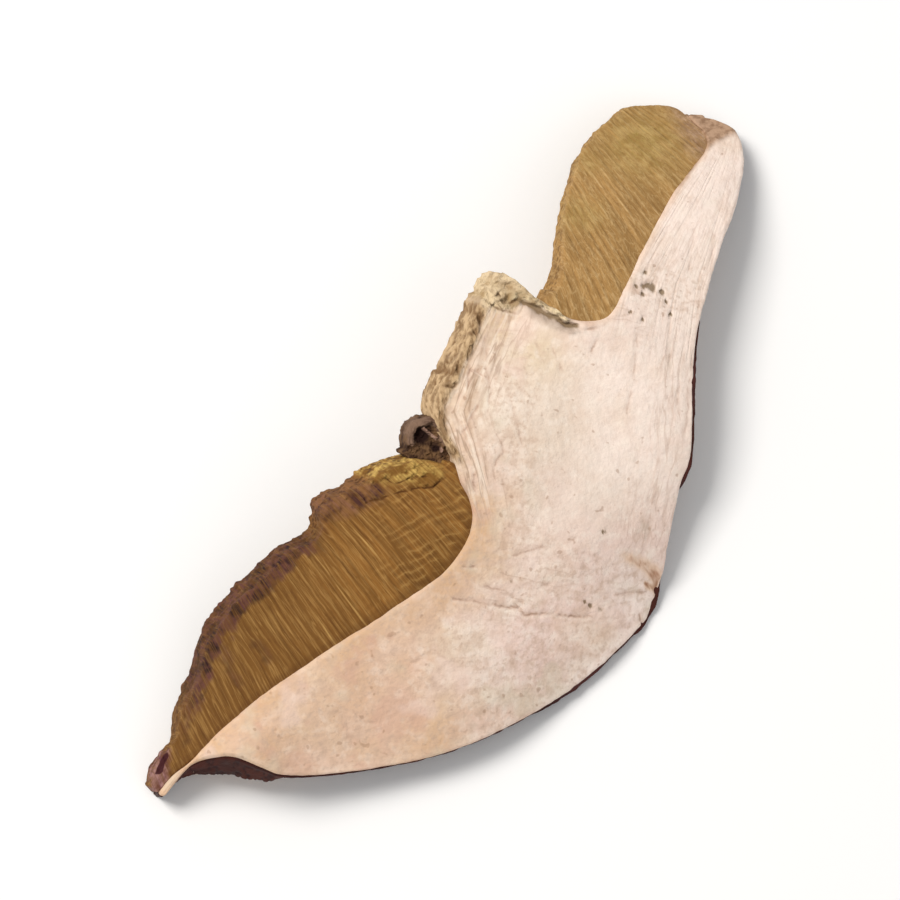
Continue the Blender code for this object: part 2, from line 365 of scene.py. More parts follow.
def loft_mesh(name, loft, lift, paints):
    """A closed mesh of the lofted points, with a named number or vector on every point."""
    points = loft.bent(lift)
    stations, places = points.shape[:2]
    ends = [points[0].mean(axis=0), points[-1].mean(axis=0)]
    vertices = np.concatenate([points.reshape(-1, 3), ends])
    grid = np.arange(stations * places).reshape(stations, places)
    here, there = grid[:-1], grid[1:]
    quads = np.stack(
        [here, there, np.roll(there, -1, axis=1), np.roll(here, -1, axis=1)], axis=-1
    ).reshape(-1, 4)
    first, last = stations * places, stations * places + 1
    fans = [(first, grid[0, k], grid[0, (k + 1) % places]) for k in range(places)]
    fans += [(last, grid[-1, (k + 1) % places], grid[-1, k]) for k in range(places)]
    mesh = bpy.data.meshes.new(name)
    mesh.from_pydata(vertices.tolist(), [], [*quads.tolist(), *fans])
    mesh.shade_smooth()
    for paint, values in paints.items():
        values = np.asarray(values, float)
        flat = values.reshape(stations * places, -1)
        flat = np.concatenate([flat, flat[[0]], flat[[-1]]])
        kind = "FLOAT_VECTOR" if flat.shape[1] == 3 else "FLOAT"
        layer = mesh.attributes.new(paint, kind, "POINT")
        layer.data.foreach_set("vector" if flat.shape[1] == 3 else "value", flat.ravel())
    piece = bpy.data.objects.new(name, mesh)
    bpy.context.scene.collection.objects.link(piece)
    print(name, "has", len(mesh.vertices), "points and", len(quads) * 2 + len(fans), "triangles")
    return piece


# %% [markdown]
# Nothing on a dried mushroom is regular, so nearly every form here is steered by noise: smooth
# random numbers that vary over a chosen distance. Blender's own noise gives the same numbers at
# every run. Three helpers are enough: noise itself, a soft step from 0 to 1, and nearness to a
# spot or a line that was seen in the photograph.

# %% Noise and nearness
SEED_SHIFTS = (13.7, 7.9, 4.3)  # how far apart the noises of two seeds lie on each axis
OCTAVE_FADE, OCTAVE_SCALE = 0.8, 2.1


def grown(x, y, w, size, seed, octaves=3):
    """Smooth random numbers between about -1 and 1, that vary over the given sizes in mm."""
    size = np.broadcast_to(size, 3)
    shape = np.broadcast(x, y, w).shape
    flat = [np.broadcast_to(axis, shape).ravel() / s for axis, s in zip((x, y, w), size)]
    points = np.stack([axis + seed * s for axis, s in zip(flat, SEED_SHIFTS)], axis=1).tolist()
    if octaves == 1:
        values = [noise.noise(point) for point in points]
    else:
        values = [noise.fractal(point, OCTAVE_FADE, OCTAVE_SCALE, octaves) for point in points]
    return np.array(values).reshape(shape)


def step(value, low, high):
    """0 below low, 1 above high, and smooth between."""
    t = np.clip((value - low) / (high - low), 0, 1)
    return t * t * (3 - 2 * t)


def near_spot(x, y, spot, size):
    """1 at a spot, fading to 0 over about its size."""
    return np.exp(-(((x - spot[0]) ** 2 + (y - spot[1]) ** 2) / size**2))


def line_place(x, y, points):
    """How far each place lies from a line, and again with a sign for the side that it is on."""
    near = np.full(np.broadcast(x, y).shape, 1e9)
    signed = near.copy()
    for (x0, y0), (x1, y1) in zip(points[:-1], points[1:]):
        length = (x1 - x0) ** 2 + (y1 - y0) ** 2
        t = np.clip(((x - x0) * (x1 - x0) + (y - y0) * (y1 - y0)) / length, 0, 1)
        away = np.hypot(x - x0 - t * (x1 - x0), y - y0 - t * (y1 - y0))
        side = np.where((x - x0) * (y1 - y0) > (y - y0) * (x1 - x0), away, -away)
        near, signed = np.minimum(near, away), np.where(away < near, side, signed)
    return near, signed


def line_distance(x, y, points):
    return line_place(x, y, points)[0]


sample = grown(np.linspace(0, 50, 200), 0.0, 0.0, 5.0, 1)
print("noise runs from", round(float(sample.min()), 2), "to", round(float(sample.max()), 2))

# %% [markdown]
# The flesh of the cap and the top of the stem grew as one, so it is one loft. Its right side is
# the cap's edge, and its left side follows the long tubes' bed, the side of the stem, the stem's
# broken end and the short tubes' bed. The two sides keep step through a few marks that lie
# across from each other. The stations then run from the lower cap through the stem's head into the
# upper arm, much as the fibres do, so the relief of the fibres can be drawn along them.

# %% Flesh outline
FLESH_MARKS = [  # places across from each other, counted in points of the right and left side
    (0.15, 0.1), (3.9, 3.4), (12.0, 10.0), (15.0, 22.0), (17.3, 27.0), (26.8, 36.0),
]
FLESH_COUNTS = (46, 128, 86, 44, 118)  # stations between the marks
FLESH_RADIUS = 0.28
FLESH_SECTION = ring(face=126, back=60, wall=12, crowd=0.35)
SKIN_SHOWS_Y = (-3.0, 9.5)  # where a thin line of skin shows along the right edge
PINCH = (15.0, -10.9)  # where the right margin is drawn in


def skin_line(points):
    """1 where the skin comes up to the cut face and shows as a thin dark line, else 0."""
    x, y = points[:, 0], points[:, 1]
    edge = step(y, SKIN_SHOWS_Y[0] - 1, SKIN_SHOWS_Y[0] + 1)
    edge *= (1 - step(y, SKIN_SHOWS_Y[1] - 1, SKIN_SHOWS_Y[1] + 2)) * step(x, 10, 12)
    below = (1 - step(y, -11, -9)) * (0.6 * step(x, -13, -10) + 0.3 * step(x, 4, 9))
    return np.maximum.reduce([edge, below, 1.15 * near_spot(x, y, PINCH, 1.8)])


FLESH_INNER = LONG_BED + STEM_SIDE + STEM_END + SHORT_BED[1:] + [(18.2, 27.9)]
flesh_right = matched(CAP_EDGE, [mark[0] for mark in FLESH_MARKS], FLESH_COUNTS)
flesh_right = moved_left(flesh_right, 0.06 + 0.16 * skin_line(flesh_right))
flesh_left = matched(FLESH_INNER, [mark[1] for mark in FLESH_MARKS], FLESH_COUNTS)
flesh = Loft(flesh_right, flesh_left, FLESH_SECTION, FLESH_RADIUS)
print("the flesh is", round(float(flesh.width.max()), 1), "mm wide at its widest")

# %% [markdown]
# The photograph shows where single creases, cracks and holes lie, so those are written down as
# short lines and spots, each with its width and depth in millimetres. Only marks that show again
# in the photograph are listed. Everything finer is left to noise, later on.

# %% Creases, cracks and holes
PINCH_CREASE = [(14.3, -9.4), (14.9, -9.55), (15.5, -9.75)]
CREASES = [  # points, width and depth
    ([(0.3, -11.8), (1.4, -11.9), (2.5, -11.9), (3.6, -12.1), (4.9, -12.1)], 0.15, 0.14),
    (
        [(5.0, -12.2), (5.4, -12.5), (6.5, -12.4), (7.6, -12.3), (8.9, -12.3), (10.0, -12.1)],
        0.15, 0.16,
    ),
    ([(2.5, -10.8), (3.0, -11.0), (3.9, -11.0), (4.4, -11.3), (5.2, -11.6)], 0.14, 0.12),
    ([(1.1, -9.6), (1.6, -9.6), (2.2, -9.4)], 0.16, 0.14),
    ([(6.3, -10.5), (6.9, -10.3), (7.6, -10.1)], 0.14, 0.07),
    ([(4.6, -8.6), (5.7, -8.2), (6.8, -8.0), (7.9, -7.7), (9.0, -7.2)], 0.15, 0.08),
    ([(12.1, -10.4), (13.1, -10.1), (14.1, -9.9)], 0.14, 0.08),
    ([(5.7, -15.6), (6.8, -15.1), (7.9, -14.5)], 0.14, 0.05),
    ([(-2.4, -16.2), (-1.2, -15.6), (-0.4, -15.9)], 0.14, 0.06),
    ([(-6.8, -19.6), (-6.0, -20.3), (-5.0, -20.2)], 0.14, 0.05),
    ([(13.7, -11.4), (13.9, -12.1)], 0.12, 0.13),
    (PINCH_CREASE, 0.17, 0.30),
    ([(11.2, 8.6), (10.7, 7.5), (10.3, 6.6)], 0.16, 0.10),
    ([(9.4, 8.3), (10.4, 8.3), (11.3, 8.8), (11.8, 9.3)], 0.13, 0.12),
    ([(7.5, 6.8), (7.8, 5.7), (8.3, 4.7)], 0.16, 0.055),
    ([(6.2, 7.1), (6.7, 5.8)], 0.16, 0.045),
    ([(13.7, 8.3), (13.5, 6.3), (13.3, 4.3), (12.9, 2.3)], 0.18, 0.055),
    ([(16.7, 5.0), (16.7, 2.6)], 0.16, 0.06),
    ([(17.9, 7.2), (17.5, 4.8), (17.3, 2.9), (17.1, 1.1)], 0.26, 0.07),
    ([(18.2, 17.2), (17.7, 14.0)], 0.18, 0.05),
    ([(19.7, 17.1), (19.1, 13.0)], 0.18, 0.045),
]
PINCH_FOLD = [
    (12.6, -7.8), (13.4, -7.85), (14.0, -8.05), (14.6, -8.35), (15.1, -8.75), (15.4, -9.5),
]
SIDE_CRACKS = [  # dark lines down the left of the stem
    ([(2.6, 7.5), (2.7, 5.7), (2.8, 4.0), (2.9, 3.0), (2.7, 1.3)], 0.10, 0.09),
    ([(1.1, 5.0), (1.7, 4.8), (2.2, 4.6), (2.7, 4.0)], 0.12, 0.17),
    ([(1.3, 6.6), (1.4, 4.8), (1.3, 3.5)], 0.10, 0.12),
    ([(2.1, 2.3), (1.7, 1.4), (1.4, 0.6), (1.0, 0.1)], 0.12, 0.14),
    ([(4.4, 2.2), (4.6, 1.2), (4.9, 0.2), (5.1, -0.7), (5.4, -1.4)], 0.11, 0.06),
    ([(3.3, -0.2), (3.7, -0.8), (3.8, -1.5), (3.3, -2.1), (3.0, -3.1)], 0.10, 0.085),
    ([(1.7, -3.1), (1.6, -3.7), (1.8, -4.3)], 0.12, 0.12),
    ([(2.1, 9.4), (2.4, 8.3)], 0.12, 0.15),
]
RIND_LOOPS = [  # curled edges of the rind, round the stem's side and its torn top
    ([(-0.3, 5.4), (0.2, 5.6), (0.6, 5.2), (0.5, 4.6)], 0.15, 0.20),
    ([(-0.6, 4.3), (-0.3, 3.7), (0.4, 3.5), (0.7, 4.0)], 0.15, 0.20),
    ([(0.4, 7.0), (0.9, 6.6), (0.9, 6.0)], 0.14, 0.16),
    ([(0.9, 8.7), (1.5, 8.5), (1.8, 7.9)], 0.14, 0.15),
    ([(3.4, 11.5), (3.6, 10.9), (3.9, 10.5), (4.5, 10.4), (5.0, 10.7), (4.9, 11.2)], 0.15, 0.22),
    ([(3.0, 10.3), (3.9, 9.75), (4.8, 9.5)], 0.20, 0.18),
    ([(2.7, 11.5), (3.0, 11.0), (2.8, 10.6)], 0.14, 0.16),
]
# The seam is sunk in and also gets painted shade along it.
SEAM = [  # the dark line under the torn end
    (5.1, 10.7), (5.8, 10.2), (6.4, 9.75), (7.4, 9.2), (8.3, 8.7), (9.2, 8.5),
]
WORM_HOLES = [  # x, y, radius, depth
    (14.95, 12.1, 0.30, 0.45), (14.65, 12.3, 0.24, 0.35), (14.3, 12.15, 0.20, 0.28),
    (14.45, 13.3, 0.20, 0.28), (13.75, 12.1, 0.16, 0.20), (14.25, 11.5, 0.17, 0.22),
    (15.65, 11.85, 0.20, 0.28), (15.95, 11.2, 0.16, 0.24), (16.2, 10.2, 0.15, 0.22),
    (14.15, 9.4, 0.15, 0.16), (13.2, 9.9, 0.12, 0.12), (11.1, -6.5, 0.17, 0.14),
    (10.1, -11.4, 0.17, 0.18), (9.7, -11.2, 0.13, 0.12), (10.8, -11.6, 0.13, 0.12),
    (4.4, -10.4, 0.12, 0.10),
]
STEM_PITS = [  # the same in the torn end and the rind
    (2.6, 11.2, 0.26, 0.30), (4.3, 12.0, 0.28, 0.30), (4.3, 10.9, 0.24, 0.26),
    (3.3, 12.1, 0.22, 0.2), (2.1, 9.6, 0.22, 0.2), (-0.1, 6.3, 0.26, 0.25),
    (0.1, 4.7, 0.28, 0.30), (-0.3, 7.4, 0.22, 0.24),
]

print(len(CREASES), "creases,", len(SIDE_CRACKS), "cracks and", len(WORM_HOLES), "worm holes")

# %% [markdown]
# Some relief belongs to one kind of surface only: rind to the side of the stem, lumps to its torn
# end, creases to the cut face. A mask is a number from 0 to 1 on every point that says how much
# of that kind is there. Its edges are soft, so that one kind passes into the next.

# %% Kinds of surface on the flesh
RIND_REACH = 0.7  # how far the rind comes round onto the cut face
TORN_FROM = [  # the lower edge of the stem's torn end
    (2.0, 10.6), (3.2, 9.9), (4.6, 9.7), (5.4, 10.6), (6.4, 10.0), (7.4, 9.35), (8.6, 8.8),
]


def inside(value, low, high, fade):
    """1 between low and high, fading to 0 outside."""
    return step(value, low - fade, low + fade) * (1 - step(value, high - fade, high + fade))


def flesh_masks(loft):
    """Where each kind of surface lies on the flesh, as numbers from 0 to 1."""
    x, y, w = loft.x, loft.y, loft.w
    on_face = step(loft.out_w, 0.2, 0.9) + 0 * x
    left_wall = step(loft.out_u, 0.1, 0.8) * (loft.share > 0.5)
    stem_side = inside(y, -2.2, 12.6, 0.7) * (x < 8) * (1 - step(x - 0.35 * y, 2.4, 3.4))
    ragged = 0.30 * grown(x, y, w, 1.1, 11)
    rind = (1 - step(loft.from_left / RIND_REACH + ragged, 0.2, 1.3)) * stem_side
    rind = np.maximum(rind, left_wall * stem_side)
    under_seam = step(np.interp(x, *zip(*TORN_FROM)) - y + ragged, -0.3, 0.3)
    torn = inside(x, 2.2, 8.6, 0.5) * (1 - under_seam)
    stem_left = inside(y, -5, 12, 2.5) * (1 - step(x, 5.5, 8.0))
    stem_left = stem_left * (1 - step(loft.from_left, 1.3, 5.5))
    return {"face": on_face, "rind": rind * (1 - torn), "torn": torn, "stem_left": stem_left}


flesh_where = flesh_masks(flesh)
for kind, mask in flesh_where.items():
    print(kind, "covers", round(100 * float(np.mean(mask))), "% of the flesh's points")

# %% [markdown]
# A crease is a groove with a faint lip along one side. Its line wanders a little and is broken
# here and there, because soft flesh gives way unevenly as it shrinks. A pit is a round dent whose
# outline noise disturbs. Each function returns the depth and also where the marks are, so that
# the materials can colour them.

# %% Creases and pits
CREASE_DEPTH = 0.8  # all creases are this share as deep as listed
LIP_AT, LIP_HEIGHT = 2.2, 0.12  # in widths from the crease's middle, and in depths
PLAIN_DEPTH, PLAIN_MOST = 0.12, 1.3  # a crease this deep is fully coloured, and 1.3 is the most
PLAIN_REACH = 0.2  # millimetres that its colour reaches to each side


def crease_relief(x, y, w, creases):
    """How deep the creases lie, how far the nearest one is to which side, and how plain it is."""
    wander = 0.16 * grown(x, y, 0 * w, 0.9, 21) + 0.03 * grown(x, y, 0 * w, 0.33, 23)
    broken = 0.15 + 0.85 * step(grown(x, y, w, 0.7, 22), -0.5, 0.25)
    sunk, plain, near, side = 0 * x, 0 * x, 0 * x + 1e9, 0 * x + 1.0
    for points, width, depth in creases:
        away, signed = line_place(x + wander, y + wander, points)
        lip = np.exp(-(((signed - LIP_AT * width) / width) ** 2)) * (away < 4 * width)
        sunk = sunk + depth * (np.exp(-((away / width) ** 2)) - LIP_HEIGHT * lip) * broken
        closer = away < near
        near, side = np.where(closer, away, near), np.where(closer, signed, side)
        plain = np.where(closer, min(depth / PLAIN_DEPTH, PLAIN_MOST), plain)
    plain = plain * broken * np.exp(-((near / PLAIN_REACH) ** 2))
    return CREASE_DEPTH * sunk, np.clip(side, -1, 1), plain


def pit_relief(x, y, w, pits, uneven):
    """How deep the pits lie, and how near the middle of one each place is."""
    sunk, where = 0 * x, 0 * x
    wander_x, wander_y = (uneven * grown(x, y, w, 0.45, seed, 2) for seed in (31, 32))
    for pit_x, pit_y, radius, depth in pits:
        inside_pit = near_spot(x + wander_x, y + wander_y, (pit_x, pit_y), radius)
        sunk = sunk + depth * inside_pit
        where = np.maximum(where, inside_pit)
    return sunk, where


deepest = max(depth for points, width, depth in CREASES)
print("the deepest crease is", round(CREASE_DEPTH * deepest, 2), "mm deep")

# %% [markdown]
# Fibres run up the stem and on into the upper arm, and below the stem they follow the cap. Every
# point gets a lane, a number that stays the same along one fibre. Noise that is taken by lane and
# stretched along it then draws long thin grooves, which follow the fibres round every bend. They
# show most along the left of the stem and the cap's right margin, and less in the arm.

# %% Fibres
STEM_LEFT = [  # y and x of the stem's side, carried on to the upper tip
    (-9.0, 1.2), (-6.5, 1.7), (-2.8, 0.6), (1.6, -0.9), (5.0, 0.3), (7.7, 1.4), (12.8, 3.6),
    (20.0, 10.0), (28.0, 18.3),
]
CAP_RIGHT = [  # y and x of the cap's edge beside it
    (-12.6, 13.9), (-10.3, 15.2), (-5.9, 16.1), (-0.7, 17.8), (4.9, 18.1), (12.6, 19.2),
    (20.1, 21.6), (24.0, 22.4), (27.8, 22.6),
]
LANES = 11.0  # the flesh's width, counted in fibres
FIBRE_LENGTH = 26.0  # millimetres along the slice
FIBRES = (  # seed, spacing in lanes, width and depth of the grooves: fine ones and wide ones
    (3, 0.30, 0.15, 0.03), (4, 0.80, 0.11, 0.055),
)


def fibre_lanes(loft):
    """A number that stays the same along a fibre: upright in the stem, round the cap below it."""
    left, right = (np.interp(loft.y, *zip(*line)) for line in (STEM_LEFT, CAP_RIGHT))
    upright = step(loft.y, -11.0, -5.0)
    return LANES * (loft.share * (1 - upright) + (right - loft.x) / (right - left) * upright)


def fibre_relief(loft):
    """How deep the grooves between fibres are, their painted shade, and how fibrous each place is.
    """
    x, y = loft.x, loft.y
    arm = step(y + 0.4 * x, 8.0, 16.0)
    stem_left = inside(y, -7, 12, 3) * (1 - step(loft.from_left, 2.5, 5.5)) * (1 - step(x, 6, 9))
    right_edge = inside(y, -8, 12, 3) * (1 - step(loft.from_right, 2.8, 5.5))
    fibrous = 0.10 + 0.90 * np.maximum.reduce([0.45 * arm, 0.8 * stem_left, 0.9 * right_edge])
    lanes = fibre_lanes(loft)
    come_and_go = step(grown(lanes, loft.along, 0 * loft.w, (0.9, 6.0, 1.0), 5), -0.25, 0.35)
    grooves = []
    for seed, spacing, width, depth in FIBRES:
        size = (spacing, FIBRE_LENGTH, 1.0)
        away = np.abs(grown(lanes, loft.along, loft.out_w, size, seed, 2))
        grooves.append(come_and_go * (1 - step(away, 0.0, width)))
    (fine, wide), (fine_depth, wide_depth) = grooves, [row[3] for row in FIBRES]
    shade = 0.6 * np.clip(fine * 0.6 + wide, 0, 1) * fibrous * (1 - 0.6 * arm)
    return fibrous * (fine_depth * fine + wide_depth * wide), shade, fibrous


flesh_fibres = fibre_relief(flesh)
print("the grooves between fibres are up to", round(float(flesh_fibres[0].max()), 3), "mm deep")

# %% [markdown]
# The stem's end tore off rather than being cut, so it is lumpy, and a dark seam runs where the
# torn tissue overhangs the smooth cut. The side of the stem keeps its rind, which dried into
# curled ridges. Both are noise of a chosen size, kept to their places by the masks.

# %% Seam, torn end and rind
SEAM_DEPTH, SEAM_WIDTH = 0.22, 0.23
SEAM_LIP_HEIGHT, SEAM_LIP_AT, SEAM_LIP_WIDTH = 0.10, 0.45, 0.22


def seam_relief(x, y, w):
    """How much of the seam and of its lip is at each place, and how far away the seam is."""
    away = line_distance(x, y + 0.22 * grown(x, y, w, 0.8, 41), SEAM)
    seam = np.exp(-((away / SEAM_WIDTH) ** 2)) * step(grown(x, y, w, 0.9, 47), -1.5, -0.5)
    lip = np.exp(-(((away - SEAM_LIP_AT) / SEAM_LIP_WIDTH) ** 2))
    return seam, lip * step(grown(x, y, w, 0.8, 48), -0.5, 0.5), away


def rough_relief(loft, masks):
    """The lumps of the torn end, the ridges of the rind, and the dark lines between its curls."""
    x, y, w = loft.x, loft.y, loft.w
    lumps = masks["torn"] * (0.26 * grown(x, y, w, 0.9, 42) + 0.16 * grown(x, y, w, 0.35, 43))
    curls = 1 - step(np.abs(grown(x, y, w, (0.9, 1.5, 0.9), 45)), 0, 0.15)
    bark = masks["rind"] * (0.16 * grown(x, y, w, (0.7, 1.8, 0.8), 44) - 0.17 * curls)
    return lumps, bark, curls


flesh_rough = rough_relief(flesh, flesh_where)
print("the torn end has lumps up to", round(float(flesh_rough[0].max()), 2), "mm high")

# %% [markdown]
# Now the relief is added up. Broad soft waves come from uneven drying. Fibres, lumps and rind go
# on top of them, creases, holes and the seam are pressed into the cut face, and the edge that the
# skin covers is drawn in a little to leave room for it. The same sums say where painted shade goes.

# %% Flesh relief
WAVES = ((0.10, 7.0, 1), (0.045, 2.2, 2))  # height, size and seed
PINCH_FOLD_DEPTH, PINCH_FOLD_WIDTH = 0.12, 0.42
UNDER_SKIN_DEPTH = 0.30


def wrinkled_places(x, y):
    """Where short wrinkles crowd together: by the crook, beside the pinch and under the seam."""
    crook = np.exp(-(((x - 4.5) / 5.0) ** 2) - ((y + 10.8 - 0.1 * x) / 2.6) ** 2)
    return np.maximum.reduce([
        crook, 0.4 * near_spot(x, y, (13.0, -10.2), 2.0), 0.7 * near_spot(x, y, (12.2, 9.0), 2.2),
        0.5 * near_spot(x, y, (4.8, 7.0), 2.6),
    ])


def flesh_relief(loft, masks, fibres, rough):
    """How far each point is raised, and the numbers for its creases and its painted shade."""
    x, y, w = loft.x, loft.y, loft.w
    on_face = masks["face"]
    (fibre_depth, fibre_shade, fibrous), (lumps, bark, curls) = fibres, rough
    waves = sum(height * grown(x, y, w, size, seed) for height, size, seed in WAVES)
    folded_in = [*CREASES, *SIDE_CRACKS, *RIND_LOOPS, (SEAM, 0.12, 0.10)]
    creases, crease_side, creased = crease_relief(x, y, w, folded_in)
    fold = np.exp(-((line_distance(x, y, PINCH_FOLD) / PINCH_FOLD_WIDTH) ** 2))
    fold = PINCH_FOLD_DEPTH * step(x, 12.3, 14.0) * fold
    holes, holed = pit_relief(x, y, w, WORM_HOLES, 0.15)
    pits, pitted = pit_relief(x, y, w, STEM_PITS, 0.18)
    seam, lip, seam_away = seam_relief(x, y, w)
    pressed = SEAM_LIP_HEIGHT * lip - creases - fold - holes - SEAM_DEPTH * seam
    lift = waves - fibre_depth + lumps + bark
    lift = lift + on_face * pressed - pits
    lift += 0.014 * grown(x, y, w, 0.35, 46) + 0.022 * grown(x, y, w, 0.8, 49)
    under_skin = step(-loft.out_u, 0.1, 0.6) * (loft.share < 0.5) * step(loft.top - w, 0.25, 0.55)
    lift = lift * (1 - under_skin) - UNDER_SKIN_DEPTH * under_skin
    # Painted shade for the grooves between fibres, between the rind's curls and in the pits.
    painted_hollow_shade = np.maximum.reduce([fibre_shade, 1.1 * curls * masks["rind"], 1.3 * pitted])
    seam_y = np.interp(x, *zip(*SEAM))
    under_seam = seam_away / 0.8 * (y < seam_y) + 2.0 * (y > seam_y)
    return lift, {
        "creased": creased * on_face, "crease_side": crease_side,
        # Painted shade in the worm holes and along the seam.
        "hole_and_seam_shade": np.maximum(1.1 * holed, 0.85 * seam) * on_face,
        "painted_hollow_shade": np.clip(painted_hollow_shade, 0, 1.3), "fibrous": fibrous * on_face,
        "seam_shade": (1 - step(under_seam, 0.3, 1.4)) * inside(x, 5.6, 9.2, 0.6) * on_face,
        "tuft": lip * (under_seam > 1.9) * inside(x, 4.0, 9.0, 0.5) * on_face,
        "wrinkled": wrinkled_places(x, y) * on_face,
    }


flesh_lift, flesh_hollows = flesh_relief(flesh, flesh_where, flesh_fibres, flesh_rough)
lowest, highest = (round(float(end), 2) for end in (flesh_lift.min(), flesh_lift.max()))
print("the flesh's relief runs from", lowest, "to", highest, "mm")

# %% [markdown]
# Colour follows places as relief does. Every point carries a few named numbers, such as how tan
# or how stained it is there, and the materials read them later. Numbers on the points are safer
# than painted pictures: they stay put from every side and need no unwrapping. The flesh turns tan
# towards the long tubes and the lower tip, and brown where the upper tip is rolled over.

# %% Colour places of the flesh
ROLLED_MARGIN = [  # where the flesh at the upper tip turns brown
    (16.1, 18.8), (17.2, 20.6), (18.2, 22.5), (19.1, 24.2), (20.2, 25.5), (21.2, 26.3),
    (22.2, 26.8),
]
ROSY_SPOTS = [  # place and size
    ((8.4, 7.4), 1.8), ((12.8, 10.4), 1.6), ((3.2, -2.5), 2.2), ((17.0, -4.0), 2.5),
    ((-12.7, -21.5), 1.9), ((5.3, 8.3), 1.3), ((14.6, 18.0), 2.6), ((9.0, -13.6), 2.0),
    ((4.2, -6.6), 2.4), ((7.5, -4.0), 2.2), ((10.2, 7.9), 1.6), ((17.3, 4.0), 1.6),
    ((17.2, 0.8), 1.4), ((14.2, -9.2), 1.2),
]
SMUDGES = [((-8.1, -19.9), 0.7), ((-7.2, -21.2), 0.6), ((-1.0, -17.5), 0.6), ((4.0, -8.0), 0.6)]


def tan_places(loft, masks):
    x, y, w = loft.x, loft.y, loft.w
    by_long_tubes = 1 - step(line_distance(x, y, LONG_BED[:-3]), 0.2, 5.0)
    by_short_tubes = 1 - step(line_distance(x, y, SHORT_BED), 0.1, 0.7)
    lower_cap = step(-x - y, 8.0, 26.0)
    tan = np.maximum.reduce([
        0.95 * by_long_tubes, 0.35 * by_short_tubes, 0.75 * lower_cap,
        0.35 * masks["stem_left"], 0.22 * step(y, 23, 27),
    ])
    return np.clip(tan + 0.22 * grown(x, y, w, 3.5, 51), 0, 1)


def rosy_places(x, y, w):
    rosy = step(0.5 * x - y, 5, 16) * step(grown(x, y, w, 5.0, 52), -0.8, 0.3)
    return np.maximum.reduce([rosy, *(0.5 * near_spot(x, y, *spot) for spot in ROSY_SPOTS)])


def pale_and_highlight_places(loft):
    x, y = loft.x, loft.y
    pale = np.maximum(step(x, 7, 13) * step(y, -7, 0), 1.25 * step(y, 11, 16))
    # Painted highlight: a pale strip along the flesh's edge at the lower cap.
    pale = np.maximum(pale, (1 - step(loft.from_right, 0.2, 0.7)) * (y < -11) * step(x, -17, -14))
    # Painted light: a pale spot that brightens the fold beside the pinch.
    return np.maximum(pale, 1.3 * near_spot(x, y, (13.6, -10.2), 2.2))


def rolled_places(x, y, w):
    """Where the upper tip is rolled over and brown."""
    over_margin = y - np.interp(x, *zip(*ROLLED_MARGIN)) + 0.16 * grown(x, y, w, 0.9, 55)
    return step(over_margin, -0.45, 0.45) * step(x, 16.5, 18.0)


def pinch_stain(x, y, w):
    """The brown stain along the fold and the crease of the pinch."""
    width = np.interp(x, [12.5, 13.5, 15.5], [0.50, 0.75, 0.95])
    pinch = 1 - step(line_distance(x, y + 0.1, PINCH_FOLD) / width, 0.1, 1)
    pinch = pinch * (0.75 * step(x, 12.0, 12.9) + 0.4 * step(x, 13.8, 15.2))
    pinch = np.maximum(pinch, 1 - step(line_distance(x, y, PINCH_CREASE), 0.05, 0.38))
    return np.clip(pinch * (0.85 + 0.5 * grown(x, y, w, 0.5, 53)), 0, 1)


def even_places(x, y, masks):
    """Where the flesh is smooth and even in colour: the middle of the stem, and the arm."""
    even = step(x, 4.0, 8.0) * step(y, -9.5, -6.0) * (1 - step(y, 9.0, 12.0))
    return np.maximum(even, 0.9 * step(y, 12.0, 15.0) * masks["face"])


print(len(ROSY_SPOTS), "rosy spots and", len(SMUDGES), "smudges")

# %% [markdown]
# The flesh is now complete: its outline, its relief and the numbers for its colours come together
# in one mesh. The grain gives each point its lane and how far along the slice it lies, so that a
# material can stretch its noise along the fibres.

# %% Flesh mesh
def flesh_paints(loft, masks, hollows):
    x, y, w = loft.x, loft.y, loft.w
    on_top = step(loft.out_w, 0, 1)
    smudge = sum(near_spot(x, y, spot, size) for spot, size in SMUDGES)
    smudge = smudge * step(grown(x, y, w, 0.6, 54), -0.6, 0.5) * masks["face"]
    olive = np.maximum(near_spot(x, y, (3.5, 8.8), 1.5), 0.6 * near_spot(x, y, (6.4, 6.6), 2.2))
    return {
        "grain": np.stack([fibre_lanes(loft), loft.along, w + 0 * x], axis=-1),
        "tan": tan_places(loft, masks), "blush": rosy_places(x, y, w), "pale": pale_and_highlight_places(loft),
        "rolled": rolled_places(x, y, w), "olive": olive * on_top,
        "stain": pinch_stain(x, y, w) * on_top, "rind": masks["rind"], "torn": masks["torn"],
        "stem_left": masks["stem_left"] * masks["face"], "smudge": np.clip(smudge, 0, 1),
        "even": even_places(x, y, masks), **hollows,
    }


cap_and_stem = loft_mesh(
    "flesh", flesh, flesh_lift, flesh_paints(flesh, flesh_where, flesh_hollows)
)

# %% [markdown]
# Under the cap hang the tubes, thousands of them side by side, which the knife laid open. They
# show as fine ridges that run from the bed in the flesh to the pores. Both layers are made in the
# same way, so their measures go in one table. It also says where each layer changes colour:
# plum and rust-red at the pores of the long tubes, yolk-yellow on a lump beside the stem, olive
# in patches of the short ones.

